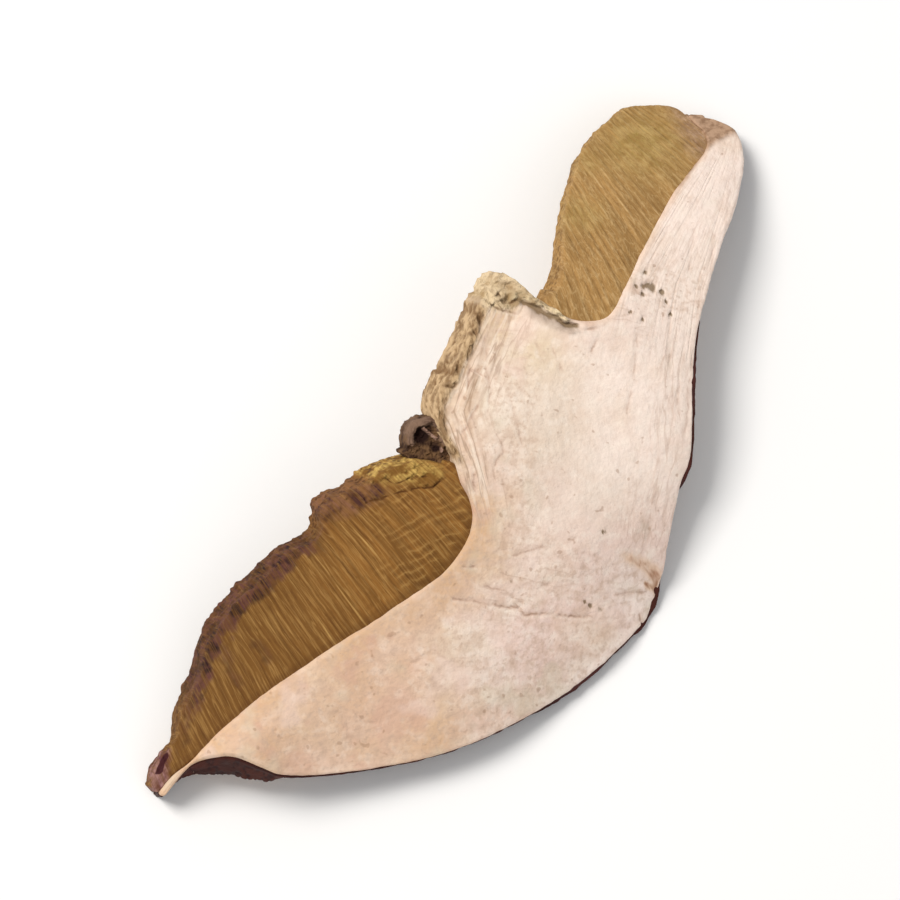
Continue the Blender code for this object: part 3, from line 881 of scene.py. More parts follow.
# %% Measures of the tubes
TUBE_RADIUS = 0.25
TUBE_PITCH = 0.50  # millimetres from ridge to ridge
TUBE_STEP_DOWN = 0.16  # how far the tubes lie under the face of the flesh
BED_OVERLAP = 0.25  # how far the tubes dip into the flesh, less where the flesh is thin
CROSS_PITCH = 0.62  # millimetres between the marks that cross the long tubes at the stem
GOLDEN_LUMP = [(-5.4, -2.3), (-4.3, -2.5), (-3.0, -2.7), (-1.5, -3.0)]
TIP_GASH = [(-20.7, -23.5), (-20.4, -22.9), (-20.1, -22.3)]  # a dark split at the lower tip
TIP_PATCH = [(-20.3, -22.3), (-20.7, -23.3), (-20.6, -24.6)]  # the reddish end round it
LONG_CRACKS = [  # points, width and depth
    (TIP_GASH, 0.16, 0.14),
    (
        [(-5.8, -5.2), (-4.7, -4.9), (-3.4, -4.5), (-1.9, -4.2), (-1.0, -4.1), (-0.2, -3.4)],
        0.14, 0.16,
    ),
    ([(-4.6, -3.4), (-3.8, -3.8), (-2.9, -3.5)], 0.14, 0.12),
    ([(-2.7, -3.6), (-2.2, -3.3), (-1.6, -3.4)], 0.14, 0.12),
]
STAINS = [  # thin dark stains along the tubes
    [(-16.8, -14.3), (-15.9, -15.8), (-14.9, -17.6)], [(-13.6, -14.9), (-12.9, -16.1)],
]
RED_RIM = [(-10.4, -6.0), (-8.4, -5.2), (-6.9, -5.0), (-5.4, -4.4)]  # a swollen pore edge


def near_line(x, y, line, full, none):
    """1 close to a line, fading between two distances from it."""
    return 1 - step(line_distance(x, y, line), full, none)


# Fan is the far point that the ridges come from, length how far a tube keeps its looks in mm,
# calm how much rarer raised tubes with a painted highlight are, and edge in the rules is nearness
# to the pores, from 0 to 1.
LAYERS = {
    "long_tube_layer": {
        "bed": LONG_BED, "pores": LONG_PORES, "fan": (-49.5, 43.7), "stations": 500,
        "section": ring(face=72, back=34, wall=16), "seed": 60, "ragged": 1.0, "crossed": 1.0,
        "length": 7.0, "lump": GOLDEN_LUMP, "cracks": LONG_CRACKS, "rough": RED_RIM,
        "calm": lambda x: 0.55 * step(-x, 6, 17),
        "places": {
            "plum": lambda x, y, edge: np.maximum(
                edge * inside(x, -18.6, -9.2, 0.9),
                sum(0.45 * near_line(x, y, line, 0.1, 0.7) for line in STAINS),
            ),
            "rust": lambda x, y, edge: near_line(x, y, RED_RIM, 0.3, 1.5),
            "yolk": lambda x, y, edge: near_line(x, y, GOLDEN_LUMP, 0.5, 1.5),
            "shade": lambda x, y, edge: 0.8 * step(-x, 4.0, 12.0) + 0.35 * step(-x, 12.0, 18.0),
            "tip": lambda x, y, edge: near_line(x, y, TIP_PATCH, 0.3, 1.0),
            "gash": lambda x, y, edge: near_line(x, y, TIP_GASH, 0.10, 0.30),
        },
    },
    "short_tube_layer": {
        "bed": SHORT_BED[:-1], "pores": SHORT_PORES, "fan": (-4.0, 47.1), "stations": 360,
        "section": ring(face=66, back=32, wall=14), "seed": 80, "ragged": 0.55, "crossed": 0.0,
        "length": 1.5, "lump": [], "cracks": [], "rough": [],
        "calm": lambda x: 0.25 + 0 * x,
        "places": {
            "tip": lambda x, y, edge: step(x + 0.3 * (y - 24), 17.5, 19.3) * step(y, 22.5, 25.0),
            "olive": lambda x, y, edge: np.maximum.reduce([
                near_spot(x, y, (14.5, 25.0), 3.2), 0.7 * near_spot(x, y, (9.8, 18.2), 1.8),
                0.6 * near_spot(x, y, (10.6, 23.2), 1.5),
            ]),
        },
    },
}

for name, layer in LAYERS.items():
    print(name, "changes colour by", ", ".join(layer["places"]))

# %% [markdown]
# The ridges fan out a little, as if they came from one point far off, so the angle round that
# point counts them. That is simpler than drawing each tube. The count is the phase: it grows by
# one from tube to tube. Noise then makes some tubes wider, deeper, split, or higher with a painted
# highlight.

# %% Tube ridges
RIDGE_HEIGHT, GAP_DEPTH, THREAD_HEIGHT, CROSSING_HEIGHT = 0.06, 0.08, 0.02, 0.03


def tube_phase(loft, layer):
    """Which tube each point belongs to, as a running number, and how far along it lies."""
    x, y, w, seed = loft.x, loft.y, loft.w, layer["seed"]
    away_x, away_y = x - layer["fan"][0], y - layer["fan"][1]
    distance = np.hypot(away_x, away_y)
    middle = float(np.median(distance))
    round_fan = np.arctan2(away_y, away_x) * middle
    wander = 0.12 * grown(x, y, w, 9.0, seed) + 0.025 * grown(x, y, w, 1.6, seed + 1)
    phase = (round_fan + wander) / TUBE_PITCH
    return phase + 0.45 * grown(phase, 0.02 * distance, 0 * w, 2.3, seed + 9, 1), distance


def crossing_marks(x, y, w, layer):
    """How strongly marks cross the tubes beside the stem, and a number that counts the marks."""
    seed = layer["seed"]
    over = 0.86 * y - 0.51 * x + 0.03 * (x + 3) ** 2 + 0.22 * grown(x, y, w, 1.3, seed + 10)
    crossed = layer["crossed"] * step(x, -6.5, -2.0)
    return crossed * step(grown(x, y, w, 1.0, seed + 11), -0.3, 0.5), over / CROSS_PITCH


def tube_ridges(loft, layer, lump):
    """The height of the ridges and gaps, with what the finish needs to know about them."""
    x, y, w, seed, long = loft.x, loft.y, loft.w, layer["seed"], layer["length"]
    phase, distance = tube_phase(loft, layer)
    wave = 0.5 + 0.5 * np.cos(2 * math.pi * phase)
    pale_size, split_size = (0.9, long, 3.0), (1.1, 0.7 * long, 3.0)
    bright = np.clip(0.30 + 1.2 * grown(phase, distance, w, pale_size, seed + 3, 2), 0, 1)
    split = np.clip(0.20 + 1.1 * grown(phase, distance, w, split_size, seed + 4, 2), 0, 1)
    bright, split = bright * (1 - lump) * (1 - layer["calm"](x)), split * (1 - lump)
    ridges = bright * step(wave, 0.66, 0.98)
    gaps = split * step(1 - wave, 0.68, 0.99)
    thread = grown(phase, distance, w, (0.30, 3.5, 3.0), seed + 2, 2)
    crossed, over = crossing_marks(x, y, w, layer)
    crossing = crossed * step(0.5 + 0.5 * np.cos(2 * math.pi * over), 0.70, 0.99)
    lines = RIDGE_HEIGHT * ridges - GAP_DEPTH * gaps
    lines = lines + THREAD_HEIGHT * thread + CROSSING_HEIGHT * crossing
    return lines, {
        "bright": bright, "split": split, "crossed": crossed * (1 - lump), "over": over,
        "phase": phase, "distance": distance,
    }


print("a ridge stands", RIDGE_HEIGHT, "mm high and a gap is", GAP_DEPTH, "mm deep")

# %% [markdown]
# The pore edge is the ragged side, where the tubes once opened downwards. It goes in and out as
# a whole, and again by single mouths. Near both ends it is calmer, because the layer thins out
# there. The lump beside the stem and the rust-red rim bulge, and cracks cross the tubes by them.

# %% Tube relief
TUBE_DRAWN_IN = 0.07  # millimetres that the whole layer has shrunk
RIM_SHARE = 0.4  # how much the face moves beside a ragged pore edge


def pore_edge(loft, layer, rough):
    """Which points lie on the pore wall and beside it, and how far they are pushed in or out."""
    x, y, w, seed = loft.x, loft.y, loft.w, layer["seed"]
    wall = step(loft.out_u, 0.2, 0.9) * (loft.share > 0.5) + 0 * x
    along_rim = 1 - step(loft.from_left, 0.0, 0.8)
    mouths = grown(x, y, w, 0.42, seed + 5, 1)
    from_ends = np.minimum(loft.along - loft.along.min(), loft.along.max() - loft.along)
    ragged = layer["ragged"] * step(from_ends, 0.3, 1.8) * (0.5 + 0.5 * step(x, -18, -15))
    ragged = ragged * (0.30 * grown(x, y, w, 1.5, seed + 6) + (0.07 + 0.12 * rough) * mouths)
    return wall, along_rim, ragged


def tube_relief(loft, layer):
    x, y, w, seed = loft.x, loft.y, loft.w, layer["seed"]
    lump = near_line(x, y, layer["lump"], 0.6, 1.4)
    rough = near_line(x, y, layer["rough"], 0.5, 1.7)
    lines, found = tube_ridges(loft, layer, lump)
    cracks, crack_side, cracked = crease_relief(x, y, w, layer["cracks"])
    bulges = 0.14 * grown(x, y, w, 1.1, seed + 12) + 0.12 * grown(x, y, w, 0.45, seed + 13)
    lines = lines - cracks + lump * (0.08 + bulges) + 0.9 * rough * bulges
    flat_sides = np.maximum(np.abs(loft.out_w), 0.25 * np.abs(loft.out_u))
    from_bed = step(loft.from_right, 0.2, 0.8)
    wall, along_rim, ragged = pore_edge(loft, layer, rough)
    lift = flat_sides * from_bed * lines - TUBE_DRAWN_IN + 0.08 * grown(x, y, w, 4.0, seed + 7)
    lift = lift + wall * ragged + RIM_SHARE * along_rim * ragged
    return lift, {**found, "crack_side": crack_side, "cracked": cracked, "wall": wall}


print("the long layer has", len(LONG_CRACKS), "cracks")

# %% [markdown]
# Each layer is a loft from its bed to its pores. The bed is moved a little into the flesh, so
# that no gap shows, and less where the flesh is thin. As for the flesh, numbers on the points
# say where the tubes are pale, split, crossed or stained.

# %% Tube layers
def tube_paints(loft, layer, found):
    """The numbers that colour the tubes: their ridges, and the places where they change colour."""
    x, y, w, seed = loft.x, loft.y, loft.w, layer["seed"]
    reach = np.clip(0.80 + 0.7 * grown(x, y, w, 0.9, seed + 8), 0.05, 1.7)
    edge = np.maximum(1 - step(loft.from_left, 0.5 * reach, reach + 0.3), found["wall"])
    by_bed = layer["crossed"] * (1 - step(loft.from_right, 0.25, 0.75))
    grain = np.stack([found["phase"], found["distance"], w + 0 * x], axis=-1)
    drift = 0.4 * grown(x, y, w, 1.2, seed + 14)
    places = {name: rule(x + drift, y + drift, edge) for name, rule in layer["places"].items()}
    return {
        "grain": grain, "lit": found["bright"], "deep": found["split"], "by_bed": by_bed,
        "crossed": found["crossed"], "over": found["over"], "crease_side": found["crack_side"],
        "creased": found["cracked"], "wall": found["wall"] * step(0.7 - w, 0, 0.5), **places,
    }


def build_layer(name, layer):
    stations = layer["stations"]
    bed = even_points(layer["bed"], 0, len(layer["bed"]) - 1, stations)
    flesh_width = line_distance(bed[:, 0], bed[:, 1], CAP_EDGE)
    bed = moved_left(bed, -BED_OVERLAP * step(flesh_width, 0.3, 0.9))
    pores = even_points(layer["pores"], 0, len(layer["pores"]) - 1, stations)
    loft = Loft(bed, pores, layer["section"], TUBE_RADIUS, top=THICKNESS / 2 - TUBE_STEP_DOWN)
    lift, found = tube_relief(loft, layer)
    return loft_mesh(name, loft, lift, tube_paints(loft, layer, found))


tube_layers = {name: build_layer(name, layer) for name, layer in LAYERS.items()}

# %% [markdown]
# The skin is a thin leathery band over the cap's edge. It shrank less than the flesh, so it is
# puckered, and its upper rim wanders up and down just under the cut face. It is a loft of its own
# with a narrow section, and it dips a little into the flesh so that no gap shows between them.

# %% Skin
SKIN_COUNT = 700  # stations along the edge
SKIN_RADIUS = 0.16
SKIN_DEPTH = 0.5  # how far the band reaches into the slice
SKIN_UNDER_FACE = 0.42  # how far its rim lies under the cut face
SKIN_RISE = 0.34  # how much nearer it comes where it shows as a dark line
PUCKER_HEIGHT, FOLD_IN = 0.07, 0.07
SKIN_SECTION = ring(face=5, back=5, wall=26, corner=4)


def build_skin():
    outside = even_points(CAP_EDGE, 0, len(CAP_EDGE) - 1, SKIN_COUNT)
    edge_x, edge_y = outside[:, 0], outside[:, 1]
    wander = grown(edge_x, edge_y, 0.0, 1.6, 91)
    top = THICKNESS / 2 - SKIN_UNDER_FACE + 0.14 * wander + SKIN_RISE * skin_line(outside)
    bottom = -THICKNESS / 2 - 0.02 + 0.06 * grown(edge_x, edge_y, 0.0, 2.4, 92)
    inside_line = moved_left(outside, SKIN_DEPTH)
    loft = Loft(outside, inside_line, SKIN_SECTION, SKIN_RADIUS, top=top, bottom=bottom)
    x, y, w = loft.x, loft.y, loft.w
    outer = step(-loft.out_u, 0.0, 0.8) + 0 * x
    pucker = grown(loft.along, w, 0 * x, (1.1, 1.6, 1.0), 93)
    folds = 1 - step(np.abs(grown(loft.along, w, 0 * x, (0.9, 2.6, 1.0), 94)), 0.0, 0.22)
    deeper = step(loft.top - w, 0.1, 0.6)
    lift = outer * deeper * (PUCKER_HEIGHT * pucker - FOLD_IN * folds)
    lift = lift + 0.015 * grown(x, y, w, 0.5, 95) - 0.02
    grain = np.stack([loft.along, w + 0 * x, 0 * x], axis=-1)
    return loft_mesh("skin", loft, lift, {"grain": grain, "folds": folds * outer})


skin = build_skin()

# %% [markdown]
# At the crook between the stem and the long tubes a torn scrap of rind has dried into a curled
# knot: a brown arch round a dark hollow, with a pale fibre across it. Separate strips would leave
# gaps, so the knot is one closed lump, and its arch, hollow and fibre are raised and pressed in
# its face. It is set into the side of the stem and the tubes, so that it grows out of both.

# %% Knot of rind
KNOT_UPPER = [
    (0.5, 0.0), (-0.2, 0.70), (-0.9, 1.05), (-1.6, 1.05), (-2.2, 0.75), (-2.6, 0.15), (-2.7, -0.6),
    (-2.6, -1.3),
]
KNOT_LOWER = [(0.5, -2.9), (-0.6, -2.9), (-1.6, -2.8), (-2.3, -2.4), (-2.55, -1.9)]
ARCH = [
    (0.0, -0.9), (-0.1, -0.2), (-0.5, 0.42), (-1.05, 0.74), (-1.65, 0.72), (-2.15, 0.40),
    (-2.38, -0.1), (-2.38, -0.8),
]
PALE_FIBRE = [(-1.45, 0.15), (-0.9, -0.35), (-0.35, -0.85), (-0.2, -1.6)]
KNOT_HOLLOW, KNOT_HOLE = (-1.65, -0.35), (-0.55, -1.45)
KNOT_COUNT = 150  # stations
KNOT_RADIUS = 0.36
KNOT_TOP, KNOT_BOTTOM = 0.45, -0.9  # from the middle of the slice
ARCH_HEIGHT, FIBRE_HEIGHT, HOLLOW_DEPTH, STREAK_HEIGHT = 0.42, 0.24, 0.2, 0.06


def build_knot():
    upper, lower = (
        even_points(line, 0, len(line) - 1, KNOT_COUNT) for line in (KNOT_UPPER, KNOT_LOWER)
    )
    section = ring(face=90, back=24, wall=16, corner=5)
    loft = Loft(upper, lower, section, KNOT_RADIUS, top=KNOT_TOP, bottom=KNOT_BOTTOM)
    x, y, w = loft.x, loft.y, loft.w
    wander = 0.12 * grown(x, y, 0 * w, 0.8, 97)
    arch_line = line_distance(x + wander, y + wander, ARCH)
    arch = np.exp(-((arch_line / 0.32) ** 2)) * (1 + 0.25 * grown(x, y, w, 0.9, 98))
    fibre = np.exp(-((line_distance(x + wander, y - wander, PALE_FIBRE) / 0.13) ** 2))
    fibre = fibre * step(grown(x, y, w, 0.5, 99), -0.7, 0.0)
    hollow = np.clip(near_spot(x, y, KNOT_HOLLOW, 0.80) + near_spot(x, y, KNOT_HOLE, 0.3), 0, 1)
    ridges = grown(arch_line * 5.0, 0.6 * (x + y), w, 1.0, 100, 2)
    crumpled = 0.16 * grown(x, y, w, 0.6, 101) + 0.07 * grown(x, y, w, 0.2, 102) - 0.05
    on_face = step(loft.out_w, 0.0, 0.9) + 0 * x
    raised = ARCH_HEIGHT * arch + FIBRE_HEIGHT * fibre - HOLLOW_DEPTH * hollow
    lift = on_face * (raised + STREAK_HEIGHT * arch * ridges) + crumpled
    grain = np.stack([arch_line * 2, 0.5 * (x + y), w + 0 * x], axis=-1)
    paints = {"grain": grain, "arch": arch, "fibre": fibre * on_face, "hollow": hollow}
    return loft_mesh("rind_scrap", loft, lift, paints)


knot = build_knot()

# %% [markdown]
# A material is a small network of nodes. The helpers here keep the networks short to write: one
# adds a node and fills in its sockets, one reads a number stored on the points, one maps a value
# to a smooth curve, and one lays a colour over another.

# %% Material helpers
class Finish:
    """A material that is put together node by node."""

    def __init__(self, name, roughness, shine=0.15):
        self.material = bpy.data.materials.new(name)
        self.material.use_nodes = True
        self.tree = self.material.node_tree
        self.shader = self.tree.nodes["Principled BSDF"]
        self.shader.inputs["Roughness"].default_value = roughness
        self.shader.inputs["Specular IOR Level"].default_value = shine

    def set(self, socket, value):
        if isinstance(value, bpy.types.NodeSocket):
            self.tree.links.new(value, socket)
        elif isinstance(value, tuple) and len(value) == 3 and socket.type == "RGBA":
            socket.default_value = (*value, 1)
        else:
            socket.default_value = value

    def add(self, kind, output=0, settings=None, **sockets):
        node = self.tree.nodes.new(kind)
        for key, value in (settings or {}).items():
            setattr(node, key, value)
        for key, value in sockets.items():
            self.set(node.inputs[key.replace("_", " ")], value)
        return node.outputs[output]

    def stored(self, name, output=2):
        """A number kept on the points, or a vector with output 1."""
        return self.add("ShaderNodeAttribute", output, {"attribute_name": name})

    def stretched(self, vector, scale):
        """A vector stretched by a scale on each axis."""
        node = self.tree.nodes.new("ShaderNodeVectorMath")
        node.operation = "MULTIPLY"
        self.set(node.inputs[0], vector)
        node.inputs[1].default_value = scale
        return node.outputs[0]

    def grain(self, scale):
        return self.stretched(self.stored("grain", 1), scale)

    def calc(self, kind, first, second=0.0):
        node = self.tree.nodes.new("ShaderNodeMath")
        node.operation = kind
        self.set(node.inputs[0], first)
        self.set(node.inputs[1], second)
        return node.outputs[0]

    def times(self, *shares):
        """Shares multiplied with each other, where a name stands for a stored number."""
        shares = [self.stored(share) if isinstance(share, str) else share for share in shares]
        product = shares[0]
        for share in shares[1:]:
            product = self.calc("MULTIPLY", product, share)
        return product

    def curve(self, value, low, high, to_low=0.0, to_high=1.0):
        """A value mapped smoothly, so that low becomes to_low and high becomes to_high."""
        node = self.tree.nodes.new("ShaderNodeMapRange")
        node.interpolation_type = "SMOOTHSTEP"
        ends = {"From Min": low, "From Max": high, "To Min": to_low, "To Max": to_high}
        for key, number in {"Value": value, **ends}.items():
            self.set(node.inputs[key], number)
        return node.outputs[0]

    def blend(self, share, first, second):
        node = self.tree.nodes.new("ShaderNodeMix")
        node.data_type = "RGBA"
        self.set(node.inputs[0], share)
        self.set(node.inputs[6], first)
        self.set(node.inputs[7], second)
        return node.outputs[2]

    def tint(self, base, colour, *shares):
        """A base with a colour laid over it, as strong as all the shares multiplied."""
        return self.blend(self.times(*shares), base, colour)

    def bumps(self, rows):
        """The shader's normal from several heights, each with its strength and distance."""
        under = {}
        for height, strength, distance in rows:
            sockets = {"Height": height, "Strength": strength, "Distance": distance, **under}
            under = {"Normal": self.add("ShaderNodeBump", 0, None, **sockets)}
        self.put("Normal", under["Normal"])

    def put(self, name, value):
        self.set(self.shader.inputs[name], value)


print("materials are made by", Finish.__name__)

# %% [markdown]
# A few patterns come back in several finishes: plain noise, thin threads drawn along the places
# where noise passes its middle value, and a wave that rises and falls with a count, such as the
# count of the tubes. One more reads the creases that are stored on the points.

# %% Patterns
class Pattern(Finish):
    """A finish that can also draw the patterns of dried tissue."""

    def noise(self, vector, scale=1.0, detail=3.0, roughness=0.55, curly=0.0):
        return self.add(
            "ShaderNodeTexNoise", 0, None, Vector=vector, Scale=scale, Detail=detail,
            Roughness=roughness, Distortion=curly,
        )

    def noises(self, place, sizes):
        """Several noises by name, from a table of scale and detail."""
        return {name: self.noise(place, scale, detail) for name, (scale, detail) in sizes.items()}

    def threads(self, vector, width, detail=1.0, scale=1.0):
        """Thin lines, where noise passes its middle value. Stretched noise makes them long."""
        away = self.calc("SUBTRACT", self.noise(vector, scale, detail), 0.5)
        return self.curve(self.calc("ABSOLUTE", away), 0.0, width, 1.0, 0.0)

    def wave(self, phase):
        """1 at whole numbers of the phase and -1 halfway between them."""
        return self.calc("COSINE", self.times(phase, 2 * math.pi))

    def crease(self, low, high):
        """1 along the nearest stored crease, fading between two distances from it."""
        away = self.calc("ABSOLUTE", self.stored("crease_side"))
        return self.times(self.curve(away, low, high, 1.0, 0.0), "creased")


print("patterns: noise, threads, wave and crease")

# %% [markdown]
# Dried flesh is cream and quite matt, and it is never one colour. The broad regions come first:
# cream that a large soft noise clouds, rosy towards the cap's margin, pale in the upper arm, tan
# beside the tubes and faintly olive at the stem's end. Each is laid over the last, as strong as
# the number stored on the points.

# %% Regions of the flesh
CREAM, LIGHT_CREAM, TAN, OLIVE = (
    (0.79, 0.635, 0.50), (0.87, 0.735, 0.62), (0.665, 0.41, 0.222), (0.70, 0.55, 0.30),
)
REGIONS = [  # stored number, strength and colour
    ("even", 0.5, LIGHT_CREAM), ("blush", 0.8, (0.80, 0.585, 0.515)),
    # Pale: the flesh's own paler parts, with painted highlight at the lower cap's edge and by the
    # pinch.
    ("pale", 0.7, (0.965, 0.81, 0.725)),
]


def regions_of(finish, cloud):
    base = finish.blend(finish.curve(cloud, 0.35, 0.66), CREAM, LIGHT_CREAM)
    for stored, strength, colour in REGIONS:
        base = finish.tint(base, colour, stored, strength)
    base = finish.tint(base, TAN, "tan", finish.curve(cloud, 0.2, 0.7, 0.65, 1.0))
    return finish.tint(base, OLIVE, "olive", 0.65)


print("regions:", [stored for stored, strength, colour in REGIONS], "tan and olive")

# %% [markdown]
# Over the regions lie spots of every size, from patches of several millimetres down to dust. Each
# kind is one row of a table: which noise it follows, between which values it fades in, how
# strong it gets, and what holds it back. In the even middle of the stem the darker ones are
# held back, and on tan flesh the paler ones.

# %% Mottling
FLESH_NOISES = {  # scale and detail
    "cloud": (160.0, 3.0), "patches": (270.0, 2.0), "blotch": (380.0, 3.0), "mottle": (650.0, 4.0),
    "crinkle": (800.0, 3.0), "fleck": (1250.0, 2.0), "specks": (1500.0, 1.0),
    "freckles": (1800.0, 3.0), "dust": (2600.0, 2.0),
}
MOTTLING = [  # noise, value of none and of full, strength, what holds it back, colour
    ("mottle", 0.45, 0.72, 0.38, "evenness", (0.62, 0.42, 0.29)),
    ("mottle", 0.50, 0.28, 0.30, "tan", (0.90, 0.76, 0.65)),
    ("fleck", 0.50, 0.68, 0.40, "evenness", (0.60, 0.42, 0.31)),
    ("fleck", 0.50, 0.32, 0.40, "tan", (0.93, 0.81, 0.70)),
    ("dust", 0.50, 0.68, 0.42, "evenness", (0.56, 0.40, 0.30)),
    ("blotch", 0.50, 0.66, 0.70, "lack of tan", (0.66, 0.40, 0.29)),
    ("patches", 0.56, 0.68, 0.35, "evenness", (0.70, 0.615, 0.47)),
    ("patches", 0.44, 0.32, 0.40, "evenness", (0.86, 0.66, 0.575)),
]


def mottled(finish, base, noises):
    held_back = {
        "evenness": finish.curve(finish.stored("even"), 0.0, 1.0, 1.0, 0.25),
        "tan": finish.curve(finish.stored("tan"), 0.0, 1.0, 1.0, 0.35),
        "lack of tan": finish.stored("tan"),
    }
    for noise_name, none, full, strength, by, colour in MOTTLING:
        spots = finish.curve(noises[noise_name], none, full, 0.0, strength)
        base = finish.tint(base, colour, spots, held_back[by])
    return base


print(len(MOTTLING), "kinds of spot from", len(FLESH_NOISES), "noises")

# %% [markdown]
# Thin lines follow the fibres. Their noise is stretched along the stored grain, which makes
# strands. Left of the stem's middle the strands are broad, olive-grey and cream by turns, with
# fine dark lines between them. Hollows between the fibres get a brown painted shade.

# %% Fibre colours
def fibred(finish, base):
    """The base with its fibres, and the two kinds of line that the bump needs too."""
    strands = finish.noise(finish.grain((5.5, 0.30, 1.0)), detail=4.0, roughness=0.7)
    lines = finish.times(finish.curve(strands, 0.50, 0.68), "fibrous")
    base = finish.tint(base, (0.75, 0.55, 0.45), lines, 0.46)
    streaks = finish.noise(finish.grain((2.7, 0.24, 1.0)), detail=2.0)
    darker, paler = finish.curve(streaks, 0.50, 0.60), finish.curve(streaks, 0.48, 0.38)
    base = finish.tint(base, (0.66, 0.51, 0.40), darker, "stem_left", 0.50)
    base = finish.tint(base, (0.90, 0.78, 0.65), paler, "stem_left", 0.6)
    threads = finish.threads(finish.grain((2.6, 0.30, 1.0)), 0.06, 2.0)
    some = finish.curve(finish.noise(finish.grain((1.1, 0.20, 1.0)), detail=2.0), 0.40, 0.54)
    threads = finish.times(threads, some)
    side_lines = finish.times(threads, "fibrous")
    base = finish.tint(base, (0.50, 0.33, 0.24), side_lines, 0.40)
    base = finish.tint(base, (0.38, 0.26, 0.18), threads, "stem_left", 0.60)
    # Painted shade in the hollows between fibres, between the rind's curls and in the pits.
    return finish.tint(base, (0.32, 0.19, 0.10), "painted_hollow_shade", 0.70), lines, side_lines


print("fibres are stretched along the grain")

# %% [markdown]
# Creases get a soft brown painted shadow, a thin dark core of painted shade and a painted highlight
# on the lip. Beside them lie short wrinkles that are too fine to list: faint threads, and a few
# darker dashes where noise allows, both painted shade.

# %% Crease colours
def wrinkled(finish, base, place, noises):
    """The base with its creases and wrinkles, and the two kinds of wrinkle for the bump."""
    side = finish.stored("crease_side")
    near_lip, far_lip = finish.curve(side, 0.08, 0.18), finish.curve(side, 0.45, 0.25)
    # Painted highlight on the lip beside each crease.
    base = finish.tint(base, (0.93, 0.81, 0.69), near_lip, far_lip, "creased", 0.5)
    # Painted shade in the fine wrinkles: soft threads, then darker dashes.
    soft = finish.threads(finish.stretched(place, (200.0, 950.0, 600.0)), 0.13, 1.0)
    soft = finish.times(soft, "wrinkled")
    base = finish.tint(base, (0.73, 0.53, 0.45), soft, 0.30)
    dashes = finish.threads(finish.stretched(place, (300.0, 1250.0, 800.0)), 0.055, 1.5)
    dashes = finish.times(dashes, finish.curve(noises["blotch"], 0.46, 0.58), "wrinkled")
    base = finish.tint(base, (0.50, 0.34, 0.25), dashes, 0.50)
    # Painted shade along each crease: a soft brown band, then a thin dark core.
    base = finish.tint(base, (0.62, 0.44, 0.34), finish.crease(0.06, 0.34), 0.55)
    broken = finish.curve(noises["fleck"], 0.38, 0.58, 0.15, 0.70)
    base = finish.tint(base, (0.40, 0.25, 0.18), finish.crease(0.01, 0.12), broken)
    return base, soft, dashes


print("creases have a shadow, a core and a lip")

# %% [markdown]
# A few marks have places of their own: dark specks all over, the stain in the pinch, smudges on
# the lower cap, the shade under the seam and the brown margin that is rolled over at the tip.

# %% Stains
STAIN, STAIN_CORE = (0.74, 0.50, 0.33), (0.42, 0.22, 0.13)
ROLLED_DARK, ROLLED_LIGHT = (0.29, 0.170, 0.100), (0.49, 0.315, 0.205)


def stained(finish, base, noises):
    base = finish.blend(
        finish.curve(noises["specks"], 0.69, 0.77, 0.0, 0.45), base, (0.36, 0.21, 0.13)
    )
    core = finish.curve(finish.stored("stain"), 0.5, 1.0)
    base = finish.tint(base, finish.blend(core, STAIN, STAIN_CORE), "stain")
    base = finish.tint(base, (0.42, 0.28, 0.20), "smudge", 0.4)
    base = finish.tint(base, (0.40, 0.30, 0.23), "seam_shade", 0.75)
    rolled = finish.curve(noises["freckles"], 0.36, 0.62)
    return finish.tint(base, finish.blend(rolled, ROLLED_DARK, ROLLED_LIGHT), "rolled")


print("the pinch is stained", STAIN, "and", STAIN_CORE, "in its middle")

# %% [markdown]
# The rind on the stem is brown bark, with painted shade that makes it darkest between its curls.
# The torn end is straw-coloured with dark threads and freckles. Both get nearly black painted
# shade along their curled edges, and last of all come the pale tufts over the seam and painted
# shade in the worm holes and along the seam.

# %% Rind and torn end
BARK_DARK, BARK_LIGHT = (0.25, 0.145, 0.060), (0.59, 0.405, 0.220)
STRAW_DARK, STRAW_LIGHT = (0.36, 0.23, 0.095), (0.76, 0.59, 0.36)


def barked(finish, base, place, noises):
    """The base with the stem's rind and torn end, and the ridges for the bump."""
    along_stem = finish.stretched(place, (1500.0, 700.0, 1500.0))
    ridged = finish.noise(along_stem, detail=5.0, roughness=0.65)
    bark = finish.blend(finish.curve(ridged, 0.38, 0.58), BARK_DARK, BARK_LIGHT)
    base = finish.tint(base, bark, "rind", 0.9)
    # Painted shade between the rind's curls.
    base = finish.tint(base, (0.20, 0.105, 0.045), "rind", "painted_hollow_shade", 0.7)
    straw = finish.blend(finish.curve(noises["mottle"], 0.38, 0.60), STRAW_DARK, STRAW_LIGHT)
    loops = finish.threads(place, 0.05, 2.0, 750.0)
    straw = finish.tint(straw, (0.22, 0.13, 0.055), loops, 0.3)
    freckled = finish.curve(noises["freckles"], 0.50, 0.68, 0.0, 0.5)
    straw = finish.blend(freckled, straw, (0.24, 0.14, 0.06))
    base = finish.tint(base, straw, "torn", 0.85)
    either = finish.calc("MAXIMUM", finish.stored("torn"), finish.stored("rind"))
    # Painted shade, nearly black, along the creases and curled edges in the rind and the torn end.
    base = finish.tint(base, (0.13, 0.07, 0.03), either, finish.crease(0.05, 0.17), 0.85)
    base = finish.tint(base, (0.80, 0.66, 0.42), "tuft", 0.7)
    # Painted shade in the worm holes and along the seam, laid on last.
    holes = finish.curve(finish.stored("hole_and_seam_shade"), 0.15, 0.70, 0.0, 0.85)
    return finish.blend(holes, base, (0.21, 0.135, 0.065)), finish.times(ridged, either)


print("the bark runs from", BARK_DARK, "to", BARK_LIGHT)

# %% [markdown]
# The parts of the finish are now laid over each other in turn. A stack of bumps adds the dry,
# slightly felted surface. Lines and creases have a negative strength, so that they sink in.

